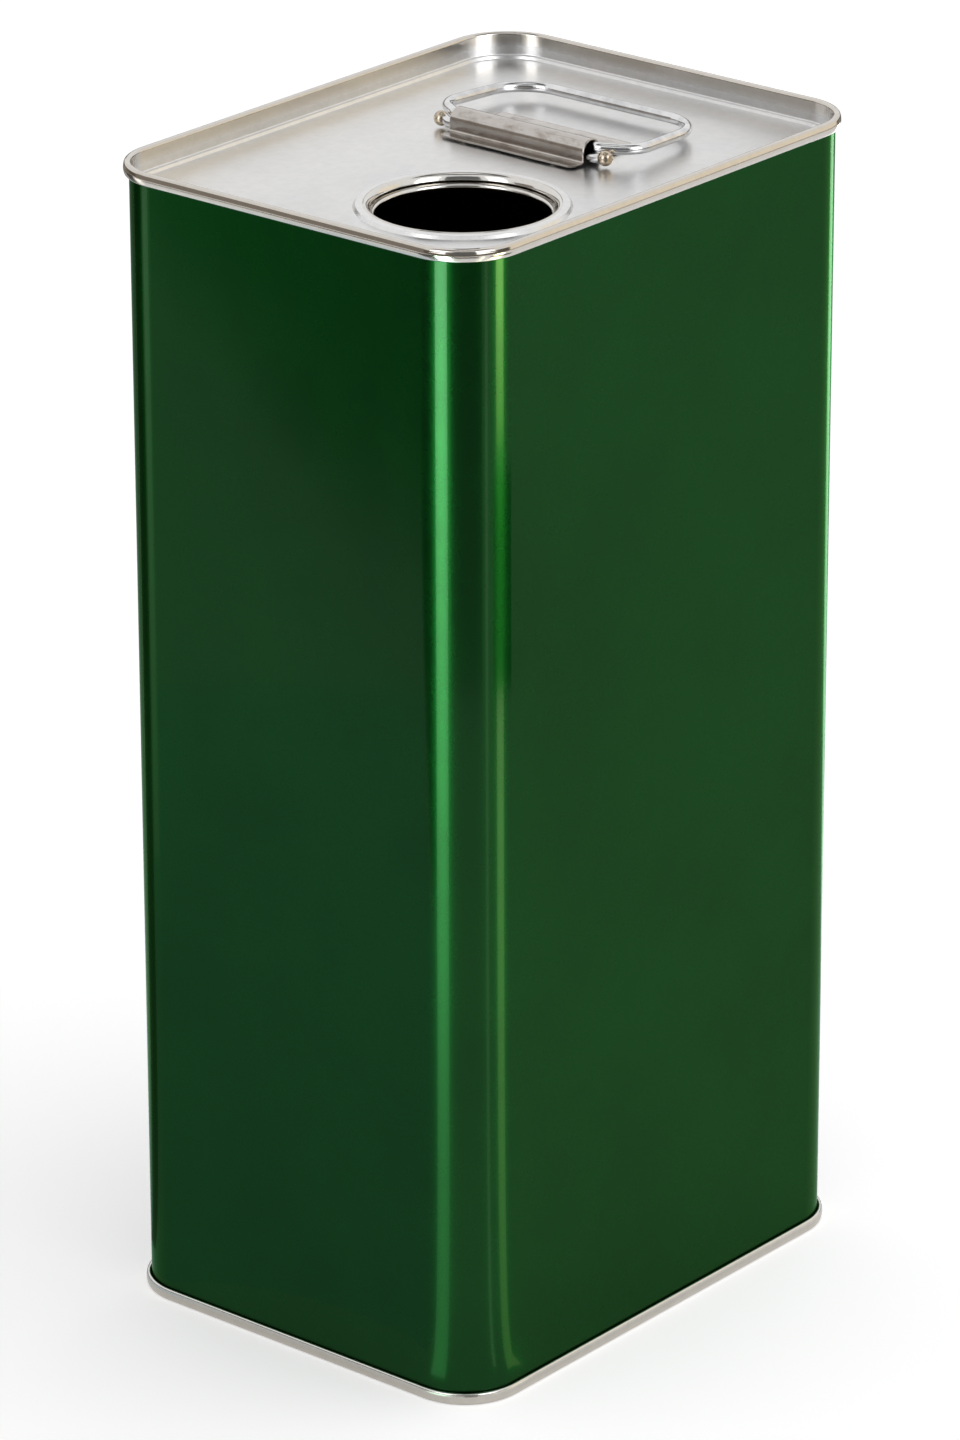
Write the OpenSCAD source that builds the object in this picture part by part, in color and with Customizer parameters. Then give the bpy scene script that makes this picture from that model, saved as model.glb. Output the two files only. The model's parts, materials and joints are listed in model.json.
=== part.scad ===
// Five litre sheet metal tin with an open neck and a folding wire bail handle.
// X runs along the long side, Y along the short side, Z is up.
// The origin is the middle of the base, on the surface the tin stands on.

/* [Body] */
// Length of the body over its sheet, along X
body_length = 152.2; // [120:0.1:200]
// Width of the body over its sheet, along Y
body_width = 117.2; // [96:0.1:160]
// Overall height from the bottom rim to the top rim
tin_height = 305; // [60:1:400]
// Radius of the four upright corners, over the sheet
corner_radius = 15.5; // [8:0.5:25]
// Thickness of the body sheet
body_sheet = 0.30; // [0.24:0.01:0.40]
// Width of the welded overlap that closes the body
weld_width = 1.2; // [0.6:0.1:3]

/* [Rims] */
// Thickness of the sheet of the top and bottom ends
end_sheet = 0.35; // [0.28:0.01:0.45]
// Height of the double seam that joins an end to the body
seam_height = 3.2; // [3:0.1:4.5]
// Length of the hooks that hold each other in the seam
hook_length = 1.9; // [1.5:0.1:2.1]
// Play between the layers of sheet in the seam
layer_gap = 0.14; // [0.08:0.01:0.18]
// Radius of the rounded edges of the rim
rim_round = 0.75; // [0.6:0.05:0.9]

/* [Recessed ends] */
// Depth of the lid panel below the top rim
lid_depth = 6.6; // [6.4:0.1:12]
// Depth of the base panel above the bottom rim
base_depth = 5.4; // [4.5:0.1:12]
// Width of the ledge at the foot of the recess wall
ledge_width = 1.4; // [1.2:0.1:4]
// Drop from that ledge to the panel
ledge_drop = 0.7; // [0.4:0.1:1.5]

/* [Neck] */
// Distance from the middle of the neck to the body's left side
neck_from_side = 44.6; // [32:0.1:56]
// Distance from the middle of the neck to the body's front side
neck_from_front = 39.6; // [32:0.1:60]
// Clear bore of the neck
neck_bore = 43; // [30:0.5:46]
// Height of the straight bore inside the curled edge
bore_height = 1.0; // [0.6:0.1:2]
// How far the curled edge reaches in from the neck's wall
curl_reach = 1.0; // [0.8:0.1:1.5]
// Radius of the lip where the sheet turns down into the neck
lip_round = 1.1; // [0.8:0.1:1.5]
// Height of the raised ring above the lid panel
ring_rise = 0.9; // [0.5:0.1:1.4]
// Width of the raised ring outside the lip
ring_width = 3.2; // [2:0.1:5]
// Depth of the neck's wall below the lid panel
neck_depth = 1.3; // [1:0.1:4]

/* [Bail] */
// Diameter of the bail's wire
wire_diameter = 2.8; // [2.2:0.1:2.9]
// Distance from the hinge line to the middle of the grip
bail_reach = 34.6; // [28:0.1:42]
// Distance from the hinge line to the hips, where the wire turns towards the grip
hip_reach = 6; // [5.8:0.1:8]
// Width of the bail at its hips, from wire middle to wire middle
bail_hip = 62.8; // [60:0.1:66]
// Width of the bail at the grip, from wire middle to wire middle
bail_grip = 59.4; // [54:0.1:66]
// Radius of the bends at the grip, on the wire's middle
grip_bend = 12; // [8:0.5:14]
// Radius of the bends at the hips, on the wire's middle
hip_bend = 8; // [6:0.5:9]
// Diameter of the swelled wire ends
bead_diameter = 3.9; // [3.4:0.1:4]
// Distance from the bracket's end to the near side of a swelled wire end
bead_clearance = 3; // [3:0.1:4]

/* [Bracket] */
// Position of the hinge line along X
hinge_x = 15; // [8:0.1:20]
// Length of the bracket along the hinge line
bracket_length = 43; // [36:0.5:43]
// Thickness of the bracket's sheet
bracket_sheet = 0.40; // [0.3:0.05:0.5]
// Width of the front flange
front_flange = 4.4; // [4:0.1:6]
// Width of the rear flange
rear_flange = 14; // [8:0.5:16]
// Height of the weld studs that hold the flanges off the lid
stud_height = 0.5; // [0.3:0.1:0.8]
// Diameter of the weld studs
stud_diameter = 3; // [2:0.1:3.4]
// Radial clearance of the twisted wires in the bracket's tunnel
hinge_clearance = 0.10; // [0.06:0.01:0.15]

/* [Hidden] */

// Clearance of the sealing compound from the sheets that it fills between
compound_gap = 0.03;
// Gap between the two ends of the wire where they wind round each other
wire_gap = 0.04;
// Least gap between the turning wires and the lid panel
panel_gap = 0.2;
// Length of the slope where a panel steps up to a raised ring
ring_slope = 0.6;
// Extra height of the lip over the raised ring, and the width of its slope
lip_crown = 0.2;
lip_slope = 0.5;
// Radius of the bend between the bracket's tunnel and its flanges
foot_bend = 0.5;
// Cut at the corners of the bracket's flanges
flange_corner = 1.2;
// Gap that the weld closes between a stud and the lid
weld_gap = 0.02;
// Angle of a leg's wire about the hinge line where it enters the tunnel
leg_angle = 45;
// Angle at which the rounding of a swelled wire end stops at its cut face
bead_cut = 145;
// Distance from the bracket's end to the corner where a leg turns out to its hip,
// and the radius of the bend there
shoulder_reach = 1.6;
shoulder_bend = 3.4;

// Faces along a full circle
round_fn = 96;
small_fn = 32;
// Steps along the arcs of a profile
arc_steps = 6;
// Sides of the wire, and rings along its bends, its twist and its swelled ends
wire_sides = 16;
bend_rings = 9;
twist_rings = 24;
bead_rings = 7;

// Layers of the seam, as distances out from the body's outer face
cover_hook_u = layer_gap;
body_hook_u = cover_hook_u + end_sheet + layer_gap;
seam_wall_u = body_hook_u + body_sheet + layer_gap;
rim_out = seam_wall_u + end_sheet;
recess_back_u = -body_sheet - layer_gap;
rim_in = recess_back_u - end_sheet;

// Depths in the seam, down from the top of the rim
body_top = end_sheet + layer_gap;
hook_root = body_top + body_sheet;
body_hook_end = body_top + hook_length;
cover_hook_end = seam_height - hook_length;

// Lid, neck and hinge line
lid_top = tin_height - lid_depth;
neck_x = neck_from_side - body_length / 2;
neck_y = neck_from_front - body_width / 2;
bore_radius = neck_bore / 2;
wall_radius = bore_radius + curl_reach;
ring_radius = wall_radius + lip_round + ring_width;
twist_radius = (wire_diameter + wire_gap) / 2;
swept_radius = twist_radius + wire_diameter / 2;
hinge_rise = swept_radius + panel_gap;
hinge_z = lid_top + hinge_rise;
tunnel_radius = swept_radius + hinge_clearance;
tunnel_outer = tunnel_radius + bracket_sheet;

function turned(angle) = [cos(angle), sin(angle)];

// Points along a circular arc of a profile
function arc(centre, radius, from, to, steps = arc_steps) =
    [for (i = [0 : steps]) centre + radius * turned(from + (to - from) * i / steps)];

// How far the under side of a sloping step in an end lies inside its top side
function step_shift(run, rise) = end_sheet * (norm([run, rise]) - run) / rise;

// Carries a profile round the body. Its x is the distance out from the body's
// outer face, and its y is the height.
module around_body() {
    half_x = body_length / 2 - corner_radius;
    half_y = body_width / 2 - corner_radius;
    for (turn = [0, 180]) {
        rotate([0, 0, turn])
            translate([body_length / 2, 0, 0])
                rotate([90, 0, 0])
                    linear_extrude(2 * half_y, center = true) children();
        rotate([0, 0, turn + 90])
            translate([body_width / 2, 0, 0])
                rotate([90, 0, 0])
                    linear_extrude(2 * half_x, center = true) children();
    }
    for (corner = [[1, 1, 0], [-1, 1, 90], [-1, -1, 180], [1, -1, 270]])
        translate([corner[0] * half_x, corner[1] * half_y, 0])
            rotate([0, 0, corner[2]])
                rotate_extrude(angle = 90, $fn = round_fn)
                    translate([corner_radius, 0]) children();
}

// Flat plate with the body's rounded outline, drawn in by inset
module plate(inset, thickness) {
    half_x = body_length / 2 - corner_radius;
    half_y = body_width / 2 - corner_radius;
    radius = corner_radius - inset;
    translate([-half_x, -half_y - radius, 0]) cube([2 * half_x, 2 * (half_y + radius), thickness]);
    translate([-half_x - radius, -half_y, 0]) cube([2 * (half_x + radius), 2 * half_y, thickness]);
    for (sx = [-1, 1], sy = [-1, 1])
        translate([sx * half_x, sy * half_y, 0]) cylinder(thickness, r = radius, $fn = round_fn);
}

// Profile of an end from the cover hook to the edge of its panel, with the top
// of the rim at height 0 and the panel's outer face at -depth
module end_profile(depth) {
    ledge_z = ledge_drop - depth;
    panel_u = rim_in - ledge_width;
    low = end_sheet - seam_height;
    shift = step_shift(end_sheet, ledge_drop);
    inner_round = rim_round - end_sheet;
    polygon(concat(
        // outside of the rim, over its top and down the wall of the recess
        arc([rim_out - end_sheet, low], end_sheet, -90, 0),
        arc([rim_out - rim_round, -rim_round], rim_round, 0, 90),
        arc([rim_in + rim_round, -rim_round], rim_round, 90, 180),
        arc([rim_in - end_sheet, ledge_z + end_sheet], end_sheet, 0, -90),
        // ledge, step down to the panel and the panel's edge
        [[panel_u + end_sheet, ledge_z], [panel_u, -depth]],
        [[panel_u - 2 * end_sheet, -depth], [panel_u - 2 * end_sheet, -depth - end_sheet]],
        // the same sheet's other face, back up to the rim
        [[panel_u + shift, -depth - end_sheet], [panel_u + end_sheet + shift, ledge_z - end_sheet]],
        arc([rim_in - end_sheet, ledge_z + end_sheet], 2 * end_sheet, -90, 0),
        arc([rim_in + rim_round, -rim_round], inner_round, 180, 90),
        arc([rim_out - rim_round, -rim_round], inner_round, 90, 0),
        // cover hook, turned in under the body's hook and up behind it
        [[seam_wall_u, low], [cover_hook_u + end_sheet, low]],
        [[cover_hook_u + end_sheet, -cover_hook_end], [cover_hook_u, -cover_hook_end]],
        arc([cover_hook_u + end_sheet, low], end_sheet, 180, 270)
    ));
}

// Rim, recess and panel of an end, with the top of the rim at height 0
module end_pressing(depth) {
    around_body() end_profile(depth);
    translate([0, 0, -depth - end_sheet]) plate(ledge_width + end_sheet - rim_in, end_sheet);
}

// Hook at the body's edge, from inside the body over and back to its outer face
body_hook = concat(
    arc([0, -hook_root], body_sheet, 180, 90),
    arc([body_hook_u, -hook_root], body_sheet, 90, 0),
    [[body_hook_u + body_sheet, -body_hook_end], [body_hook_u, -body_hook_end]],
    [[body_hook_u, -hook_root], [0, -hook_root]]
);

// Profile of the body's wall with its hook at the top and at the bottom
module body_profile() {
    last = len(body_hook) - 1;
    polygon(concat(
        [for (p = body_hook) [p[0], tin_height + p[1]]],
        [for (i = [last : -1 : 0]) [body_hook[i][0], -body_hook[i][1]]]
    ));
}

module compound_profile() {
    polygon([
        [compound_gap, -hook_root - compound_gap],
        [body_hook_u - compound_gap, -hook_root - compound_gap],
        [body_hook_u - compound_gap, -cover_hook_end + compound_gap],
        [compound_gap, -cover_hook_end + compound_gap]
    ]);
}

// Raised ring, lip, wall and curled edge of the neck. Its x is the distance
// from the neck's middle and its y is the height over the lid panel.
module neck_profile() {
    lip = [wall_radius + lip_round, ring_rise + lip_crown - lip_round];
    curl_round = curl_reach / 2;
    curl_x = bore_radius + curl_round;
    curl_low = -neck_depth - curl_round - bore_height;
    shift = step_shift(ring_slope, ring_rise);
    ring_x = ring_radius - ring_slope;
    polygon(concat(
        // from the panel up over the raised ring and the lip
        [[ring_radius + 2 * end_sheet, 0], [ring_radius, 0]],
        [[ring_x, ring_rise], [lip[0] + lip_slope, ring_rise]],
        arc(lip, lip_round, 90, 180),
        // down the wall and round the curled edge
        [[wall_radius, -neck_depth]],
        arc([curl_x, -neck_depth - curl_round], curl_round, 90, 180),
        arc([curl_x, curl_low], curl_round, 180, 270),
        [[wall_radius + end_sheet, curl_low - curl_round]],
        // up the wall's back and under the ring
        arc(lip, lip_round - end_sheet, 180, 90),
        [[lip[0] + lip_slope, ring_rise - end_sheet], [ring_x - shift, ring_rise - end_sheet]],
        [[ring_radius - shift, -end_sheet], [ring_radius + 2 * end_sheet, -end_sheet]]
    ));
}

// Section of the bracket across the hinge line, which is its origin
module bracket_section() {
    flange_top = stud_height + bracket_sheet - hinge_rise;
    difference() {
        union() {
            circle(tunnel_outer, $fn = round_fn);
            translate([-tunnel_outer, flange_top]) square([2 * tunnel_outer, -flange_top]);
            translate([-tunnel_outer - front_flange, flange_top - bracket_sheet])
                square([front_flange + 2 * tunnel_outer + rear_flange, bracket_sheet]);
            for (side = [-1, 1])
                difference() {
                    translate([side * tunnel_outer - foot_bend, flange_top])
                        square([2 * foot_bend, foot_bend]);
                    translate([side * (tunnel_outer + foot_bend), flange_top + foot_bend])
                        circle(foot_bend, $fn = small_fn);
                }
        }
        circle(tunnel_radius, $fn = round_fn);
        translate([-tunnel_radius, -2 * tunnel_outer])
            square([2 * tunnel_radius, 2 * tunnel_outer]);
    }
}

// Middle of a wire in the twist, at the distance y along the hinge line
function twist_point(y, phase) =
    let (
        half = bracket_length / 2,
        angle = leg_angle + phase + 90 * (y - half) / half
    )
    [twist_radius * cos(angle), y, twist_radius * sin(angle)];

// Points along a rounded corner at b on the way from a to c
function bend(a, b, c, radius) =
    let (
        to_a = (a - b) / norm(a - b),
        to_c = (c - b) / norm(c - b),
        half = acos(to_a * to_c) / 2,
        centre = b + (to_a + to_c) / norm(to_a + to_c) * radius / sin(half),
        first = b + to_a * radius / tan(half) - centre,
        last = b + to_c * radius / tan(half) - centre,
        sweep = 180 - 2 * half
    )
    [for (i = [0 : bend_rings])
        let (t = sweep * i / bend_rings)
        centre + (first * sin(sweep - t) + last * sin(t)) / sin(sweep)];

// The wire's middle, as points [x, y, z] about the hinge line, and its radius
// at each: one swelled end, its stretch of the twist, the bail's loop, the
// other stretch of the twist and the other swelled end. Between the bracket and
// a swelled end the wire runs on straight, clear of the leg beside it.
bead_radius = bead_diameter / 2;
bead_offset = swept_radius - bead_radius;
bead_middle = bracket_length / 2 + bead_clearance + bead_radius;
bead_angles = [for (i = [0 : bead_rings])
    let (neck = asin(wire_diameter / bead_diameter))
    neck + (bead_cut - neck) * i / bead_rings];

function bead(side) = [for (t = bead_angles)
    [-bead_offset * cos(leg_angle), side * (bead_middle - bead_radius * cos(t)),
        -bead_offset * sin(leg_angle)]];
function lead(side) = [[-twist_radius * cos(leg_angle),
    side * (bracket_length / 2 + 0.7 * bead_clearance), -twist_radius * sin(leg_angle)]];
function backwards(list) = [for (i = [len(list) - 1 : -1 : 0]) list[i]];
function twist(phase) = [for (i = [0 : twist_rings])
    twist_point(bracket_length * (i / twist_rings - 1 / 2), phase)];

mouth = twist_point(bracket_length / 2, 0);
shoulder = [mouth[0], mouth[1] + shoulder_reach, mouth[2]];
hip = [hip_reach, bail_hip / 2,
    mouth[2] * (bail_reach - hip_reach) / (bail_reach - mouth[0])];
grip = [bail_reach, bail_grip / 2, 0];
function other(p) = [p[0], -p[1], p[2]];

wire_path = concat(
    backwards(bead(-1)),
    lead(-1),
    twist(0),
    bend(mouth, shoulder, hip, shoulder_bend),
    bend(shoulder, hip, grip, hip_bend),
    bend(hip, grip, other(grip), grip_bend),
    bend(grip, other(grip), other(hip), grip_bend),
    bend(other(grip), other(hip), other(shoulder), hip_bend),
    bend(other(hip), other(shoulder), other(mouth), shoulder_bend),
    twist(180),
    lead(1),
    bead(1)
);
bead_radii = [for (t = bead_angles) bead_radius * sin(t)];
plain_rings = len(wire_path) - 2 * len(bead_radii);
wire_radii = concat(
    backwards(bead_radii),
    [for (i = [1 : plain_rings]) wire_diameter / 2],
    bead_radii
);

// Closed tube along a path that is never upright, with a radius at each point
module tube(path, radii, sides) {
    last = len(path) - 1;
    function along(i) =
        let (step = path[min(i + 1, last)] - path[max(i - 1, 0)])
        step / norm(step);
    function ring(i) =
        let (
            ahead = along(i),
            level = cross([0, 0, 1], ahead) / norm(cross([0, 0, 1], ahead)),
            up = cross(ahead, level)
        )
        [for (k = [0 : sides - 1])
            let (angle = 360 * k / sides)
            path[i] + radii[i] * (cos(angle) * level + sin(angle) * up)];
    polyhedron(
        points = [for (i = [0 : last]) each ring(i)],
        faces = concat(
            [[for (k = [0 : sides - 1]) k]],
            [[for (k = [sides - 1 : -1 : 0]) last * sides + k]],
            [for (i = [0 : last - 1], k = [0 : sides - 1])
                let (next = (k + 1) % sides)
                each [
                    [i * sides + k, (i + 1) * sides + k, (i + 1) * sides + next],
                    [i * sides + k, (i + 1) * sides + next, i * sides + next]
                ]]
        )
    );
}

module body_shell() color("darkgreen") {
    around_body() body_profile();
    // welded overlap down the middle of the rear short side
    weld_low = seam_height + seam_wall_u - body_hook_u;
    translate([(body_length - body_sheet) / 2, -weld_width / 2, weld_low])
        cube([body_sheet, weld_width, tin_height - 2 * weld_low]);
}

module top_end() color("gainsboro") {
    translate([0, 0, tin_height])
        difference() {
            end_pressing(lid_depth);
            translate([neck_x, neck_y, -lid_depth - 2 * end_sheet])
                cylinder(3 * end_sheet, r = ring_radius + end_sheet, $fn = round_fn);
        }
    translate([neck_x, neck_y, lid_top]) rotate_extrude($fn = round_fn) neck_profile();
}

module bottom_end() color("silver") mirror([0, 0, 1]) end_pressing(base_depth);

module top_seam_compound() color("dimgray")
    translate([0, 0, tin_height]) around_body() compound_profile();

module bottom_seam_compound() color("dimgray")
    mirror([0, 0, 1]) around_body() compound_profile();

module handle_bracket() color("darkgray") {
    front = hinge_x - tunnel_outer - front_flange;
    rear = hinge_x + tunnel_outer + rear_flange;
    corner = flange_corner * sqrt(2);
    difference() {
        translate([hinge_x, 0, hinge_z])
            rotate([90, 0, 0]) linear_extrude(bracket_length, center = true) bracket_section();
        for (end = [-1, 1], x = [front, rear])
            translate([x, end * bracket_length / 2, lid_top + stud_height])
                rotate([0, 0, 45]) cube([corner, corner, 4 * bracket_sheet], center = true);
    }
    for (end = [-1, 1], x = [front + front_flange / 2, rear - rear_flange / 2])
        translate([x, end * bracket_length / 3, lid_top + weld_gap])
            cylinder(stud_height - weld_gap + bracket_sheet / 2, d = stud_diameter, $fn = small_fn);
}

module handle_bail() color("gainsboro")
    translate([hinge_x, 0, hinge_z]) tube(wire_path, wire_radii, wire_sides);

body_shell();
top_end();
bottom_end();
top_seam_compound();
bottom_seam_compound();
handle_bracket();
handle_bail();
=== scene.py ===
"""Five litre tin in green lacquer, with bare tinplate ends, an open neck and a folding wire bail."""

import json
import logging
import math
from collections.abc import Callable, Iterable, Sequence
from dataclasses import dataclass
from enum import Enum

import bmesh
import bpy
from mathutils import Matrix, Quaternion, Vector

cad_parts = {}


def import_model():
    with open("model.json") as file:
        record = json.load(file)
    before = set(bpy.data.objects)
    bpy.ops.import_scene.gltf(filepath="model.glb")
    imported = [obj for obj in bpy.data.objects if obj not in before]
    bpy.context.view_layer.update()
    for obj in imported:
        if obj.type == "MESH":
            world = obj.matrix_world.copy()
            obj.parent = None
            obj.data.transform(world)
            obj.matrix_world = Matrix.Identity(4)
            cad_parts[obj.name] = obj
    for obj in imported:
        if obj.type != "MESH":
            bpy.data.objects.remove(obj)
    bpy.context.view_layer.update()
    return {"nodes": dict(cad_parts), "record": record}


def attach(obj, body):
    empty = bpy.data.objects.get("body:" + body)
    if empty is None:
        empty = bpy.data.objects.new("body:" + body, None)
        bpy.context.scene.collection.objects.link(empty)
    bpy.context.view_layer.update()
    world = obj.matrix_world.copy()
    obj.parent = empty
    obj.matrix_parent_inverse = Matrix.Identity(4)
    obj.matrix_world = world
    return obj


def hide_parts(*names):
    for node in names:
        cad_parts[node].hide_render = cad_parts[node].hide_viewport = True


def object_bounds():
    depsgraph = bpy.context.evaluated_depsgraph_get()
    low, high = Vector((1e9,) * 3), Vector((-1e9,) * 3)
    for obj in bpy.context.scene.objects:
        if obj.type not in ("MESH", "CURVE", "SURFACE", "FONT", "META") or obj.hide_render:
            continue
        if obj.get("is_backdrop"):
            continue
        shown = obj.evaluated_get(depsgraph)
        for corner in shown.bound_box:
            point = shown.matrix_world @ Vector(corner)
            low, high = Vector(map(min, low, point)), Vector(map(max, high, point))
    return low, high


MM = 0.001
UP = Vector((0, 0, 1))
TOUCHING = 0.002 * MM
LEVEL = 0.01 * MM
Colour = tuple[float, float, float]
Pair = tuple[float, float]
WHITE: Colour = (1.0, 1.0, 1.0)
Socket = bpy.types.NodeSocket
Object = bpy.types.Object
Material = bpy.types.Material


class Body(Enum):
    """The bodies of the frame that a piece rides on."""

    TIN = "tin"
    BAIL = "bail"


class Slot(Enum):
    """The record's material slots."""

    LACQUER = "green_lacquer"
    TINPLATE = "tinplate"
    BRACKET = "bracket_steel"
    WIRE = "bail_wire"


class End(Enum):
    """Which way an end of the tin faces."""

    TOP = 1
    BOTTOM = -1


# Helpers for work in edit mode


def start_edit(piece: Object) -> None:
    """Make the piece active on its own and enter edit mode.

    Args:
        piece: The object.
    """
    bpy.ops.object.select_all(action="DESELECT")
    piece.select_set(True)
    bpy.context.view_layer.objects.active = piece
    bpy.ops.object.mode_set(mode="EDIT")
    bpy.ops.mesh.select_mode(type="VERT")


def leave_edit() -> None:
    """Go back to object mode."""
    bpy.ops.object.mode_set(mode="OBJECT")


def pick_points(piece: Object, wanted: Callable[[Vector], bool]) -> None:
    """Select the points that pass a test of their place.

    Args:
        piece: The object in edit mode.
        wanted: The test, given a point's place.
    """
    mesh = bmesh.from_edit_mesh(piece.data)
    bpy.ops.mesh.select_all(action="DESELECT")
    for point in mesh.verts:
        point.select = wanted(point.co)
    mesh.select_flush_mode()
    bmesh.update_edit_mesh(piece.data)


def pick_faces(piece: Object, wanted: Callable[[Vector, Vector], bool]) -> None:
    """Select the faces that pass a test of their middle and normal.

    Args:
        piece: The object in edit mode.
        wanted: The test, given a face's middle and its normal.
    """
    bpy.ops.mesh.select_mode(type="FACE")
    bpy.ops.mesh.select_all(action="DESELECT")
    mesh = bmesh.from_edit_mesh(piece.data)
    for face in mesh.faces:
        face.select_set(wanted(face.calc_center_median(), face.normal))
    bmesh.update_edit_mesh(piece.data)


def pick_edges(piece: Object, wanted: Callable[[Vector, Vector], bool]) -> None:
    """Select the open edges whose two ends pass a test.

    Args:
        piece: The object in edit mode.
        wanted: The test, given the places of an edge's two ends.
    """
    bpy.ops.mesh.select_mode(type="EDGE")
    bpy.ops.mesh.select_all(action="DESELECT")
    mesh = bmesh.from_edit_mesh(piece.data)
    for edge in mesh.edges:
        edge.select_set(len(edge.link_faces) < 2 and wanted(edge.verts[0].co, edge.verts[1].co))
    bmesh.update_edit_mesh(piece.data)


def push_softly(push: Sequence[float], reach: float) -> None:
    """Move the selected points and take their neighbours along, less and less.

    Args:
        push: How far the selected points move.
        reach: How far from them the move has faded to nothing.
    """
    bpy.ops.transform.translate(
        value=push, use_proportional_edit=True,
        proportional_edit_falloff="SMOOTH", proportional_size=reach,
    )


def close_seams() -> None:
    """Merge the doubled points of the piece in edit mode and make its faces agree."""
    bpy.ops.mesh.select_mode(type="VERT")
    bpy.ops.mesh.select_all(action="SELECT")
    bpy.ops.mesh.remove_doubles(threshold=TOUCHING)
    bpy.ops.mesh.select_all(action="SELECT")
    bpy.ops.mesh.normals_make_consistent(inside=False)


def face_towards(piece: Object, near: Vector, way: Vector) -> None:
    """Turn all faces of an open sheet if the one nearest to a place faces the wrong way.

    Args:
        piece: The object in edit mode.
        near: A place on the sheet.
        way: The direction that the sheet has to face there.
    """
    mesh = bmesh.from_edit_mesh(piece.data)
    closest = min(mesh.faces, key=lambda face: (face.calc_center_median() - near).length)
    if closest.normal.dot(way) < 0:
        bpy.ops.mesh.select_all(action="SELECT")
        bpy.ops.mesh.flip_normals()


def apply_modifier(piece: Object, kind: str, **settings: object) -> None:
    """Add a modifier to a piece in object mode and apply it.

    Args:
        piece: The object.
        kind: The modifier's type.
        settings: Its settings by name.
    """
    modifier = piece.modifiers.new(kind.title(), kind)
    for name, value in settings.items():
        setattr(modifier, name, value)
    bpy.context.view_layer.objects.active = piece
    bpy.ops.object.modifier_apply(modifier=modifier.name)


def give_wall(piece: Object, thickness: float, inner: int) -> None:
    """Give an open sheet its thickness, on the side that its faces turn away from.

    Args:
        piece: The object in object mode.
        thickness: The sheet's thickness.
        inner: The material index of the new side, counted from the first.
    """
    apply_modifier(
        piece, "SOLIDIFY", thickness=thickness, offset=-1, use_even_offset=True,
        material_offset=inner, material_offset_rim=0,
    )


def round_edges(piece: Object, width: float, angle: float) -> None:
    """Round the edges that turn by more than an angle.

    Args:
        piece: The object in object mode.
        width: The width of the rounding.
        angle: The least angle in degrees.
    """
    apply_modifier(
        piece, "BEVEL", width=width, segments=2, limit_method="ANGLE",
        angle_limit=math.radians(angle), use_clamp_overlap=True, harden_normals=False,
    )


def shade(piece: Object, angle: float = 40) -> None:
    """Shade a piece smooth, apart from its sharp edges.

    Args:
        piece: The object in object mode.
        angle: The least angle of a sharp edge, in degrees.
    """
    bpy.ops.object.select_all(action="DESELECT")
    piece.select_set(True)
    bpy.context.view_layer.objects.active = piece
    bpy.ops.object.shade_smooth_by_angle(angle=math.radians(angle))
    apply_modifier(piece, "WEIGHTED_NORMAL", keep_sharp=True, weight=50)


def join(pieces: Sequence[Object]) -> Object:
    """Join pieces into one.

    Args:
        pieces: The objects in object mode.

    Returns:
        The first of them, which now holds them all.
    """
    bpy.ops.object.select_all(action="DESELECT")
    for piece in pieces:
        piece.select_set(True)
    bpy.context.view_layer.objects.active = pieces[0]
    bpy.ops.object.join()
    return pieces[0]


def dress(piece: Object, finishes: Iterable[Material]) -> None:
    """Put materials in a piece's slots.

    Args:
        piece: The object.
        finishes: Its materials, in order.
    """
    piece.data.materials.clear()
    for finish in finishes:
        piece.data.materials.append(finish)


def enter(piece: Object, name: str, body: Body, slot: Slot, *nodes: str) -> None:
    """Give a finished piece its name, hang it on its body and hide the CAD nodes that it stands for.

    Args:
        piece: The finished object.
        name: Its name.
        body: The body that it rides on.
        slot: The record's material slot of its finish; not used.
        nodes: The CAD nodes that it stands for.
    """
    piece.name = name
    piece.data.name = name
    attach(piece, body.value)
    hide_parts(*nodes)


def report(piece: Object) -> None:
    """Log a piece's size in millimetres and its number of triangles.

    Args:
        piece: The finished object.
    """
    piece.data.calc_loop_triangles()
    size = [round(side / MM, 2) for side in piece.dimensions]
    logging.info("%s: %s mm, %d triangles", piece.name, size, len(piece.data.loop_triangles))


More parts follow.
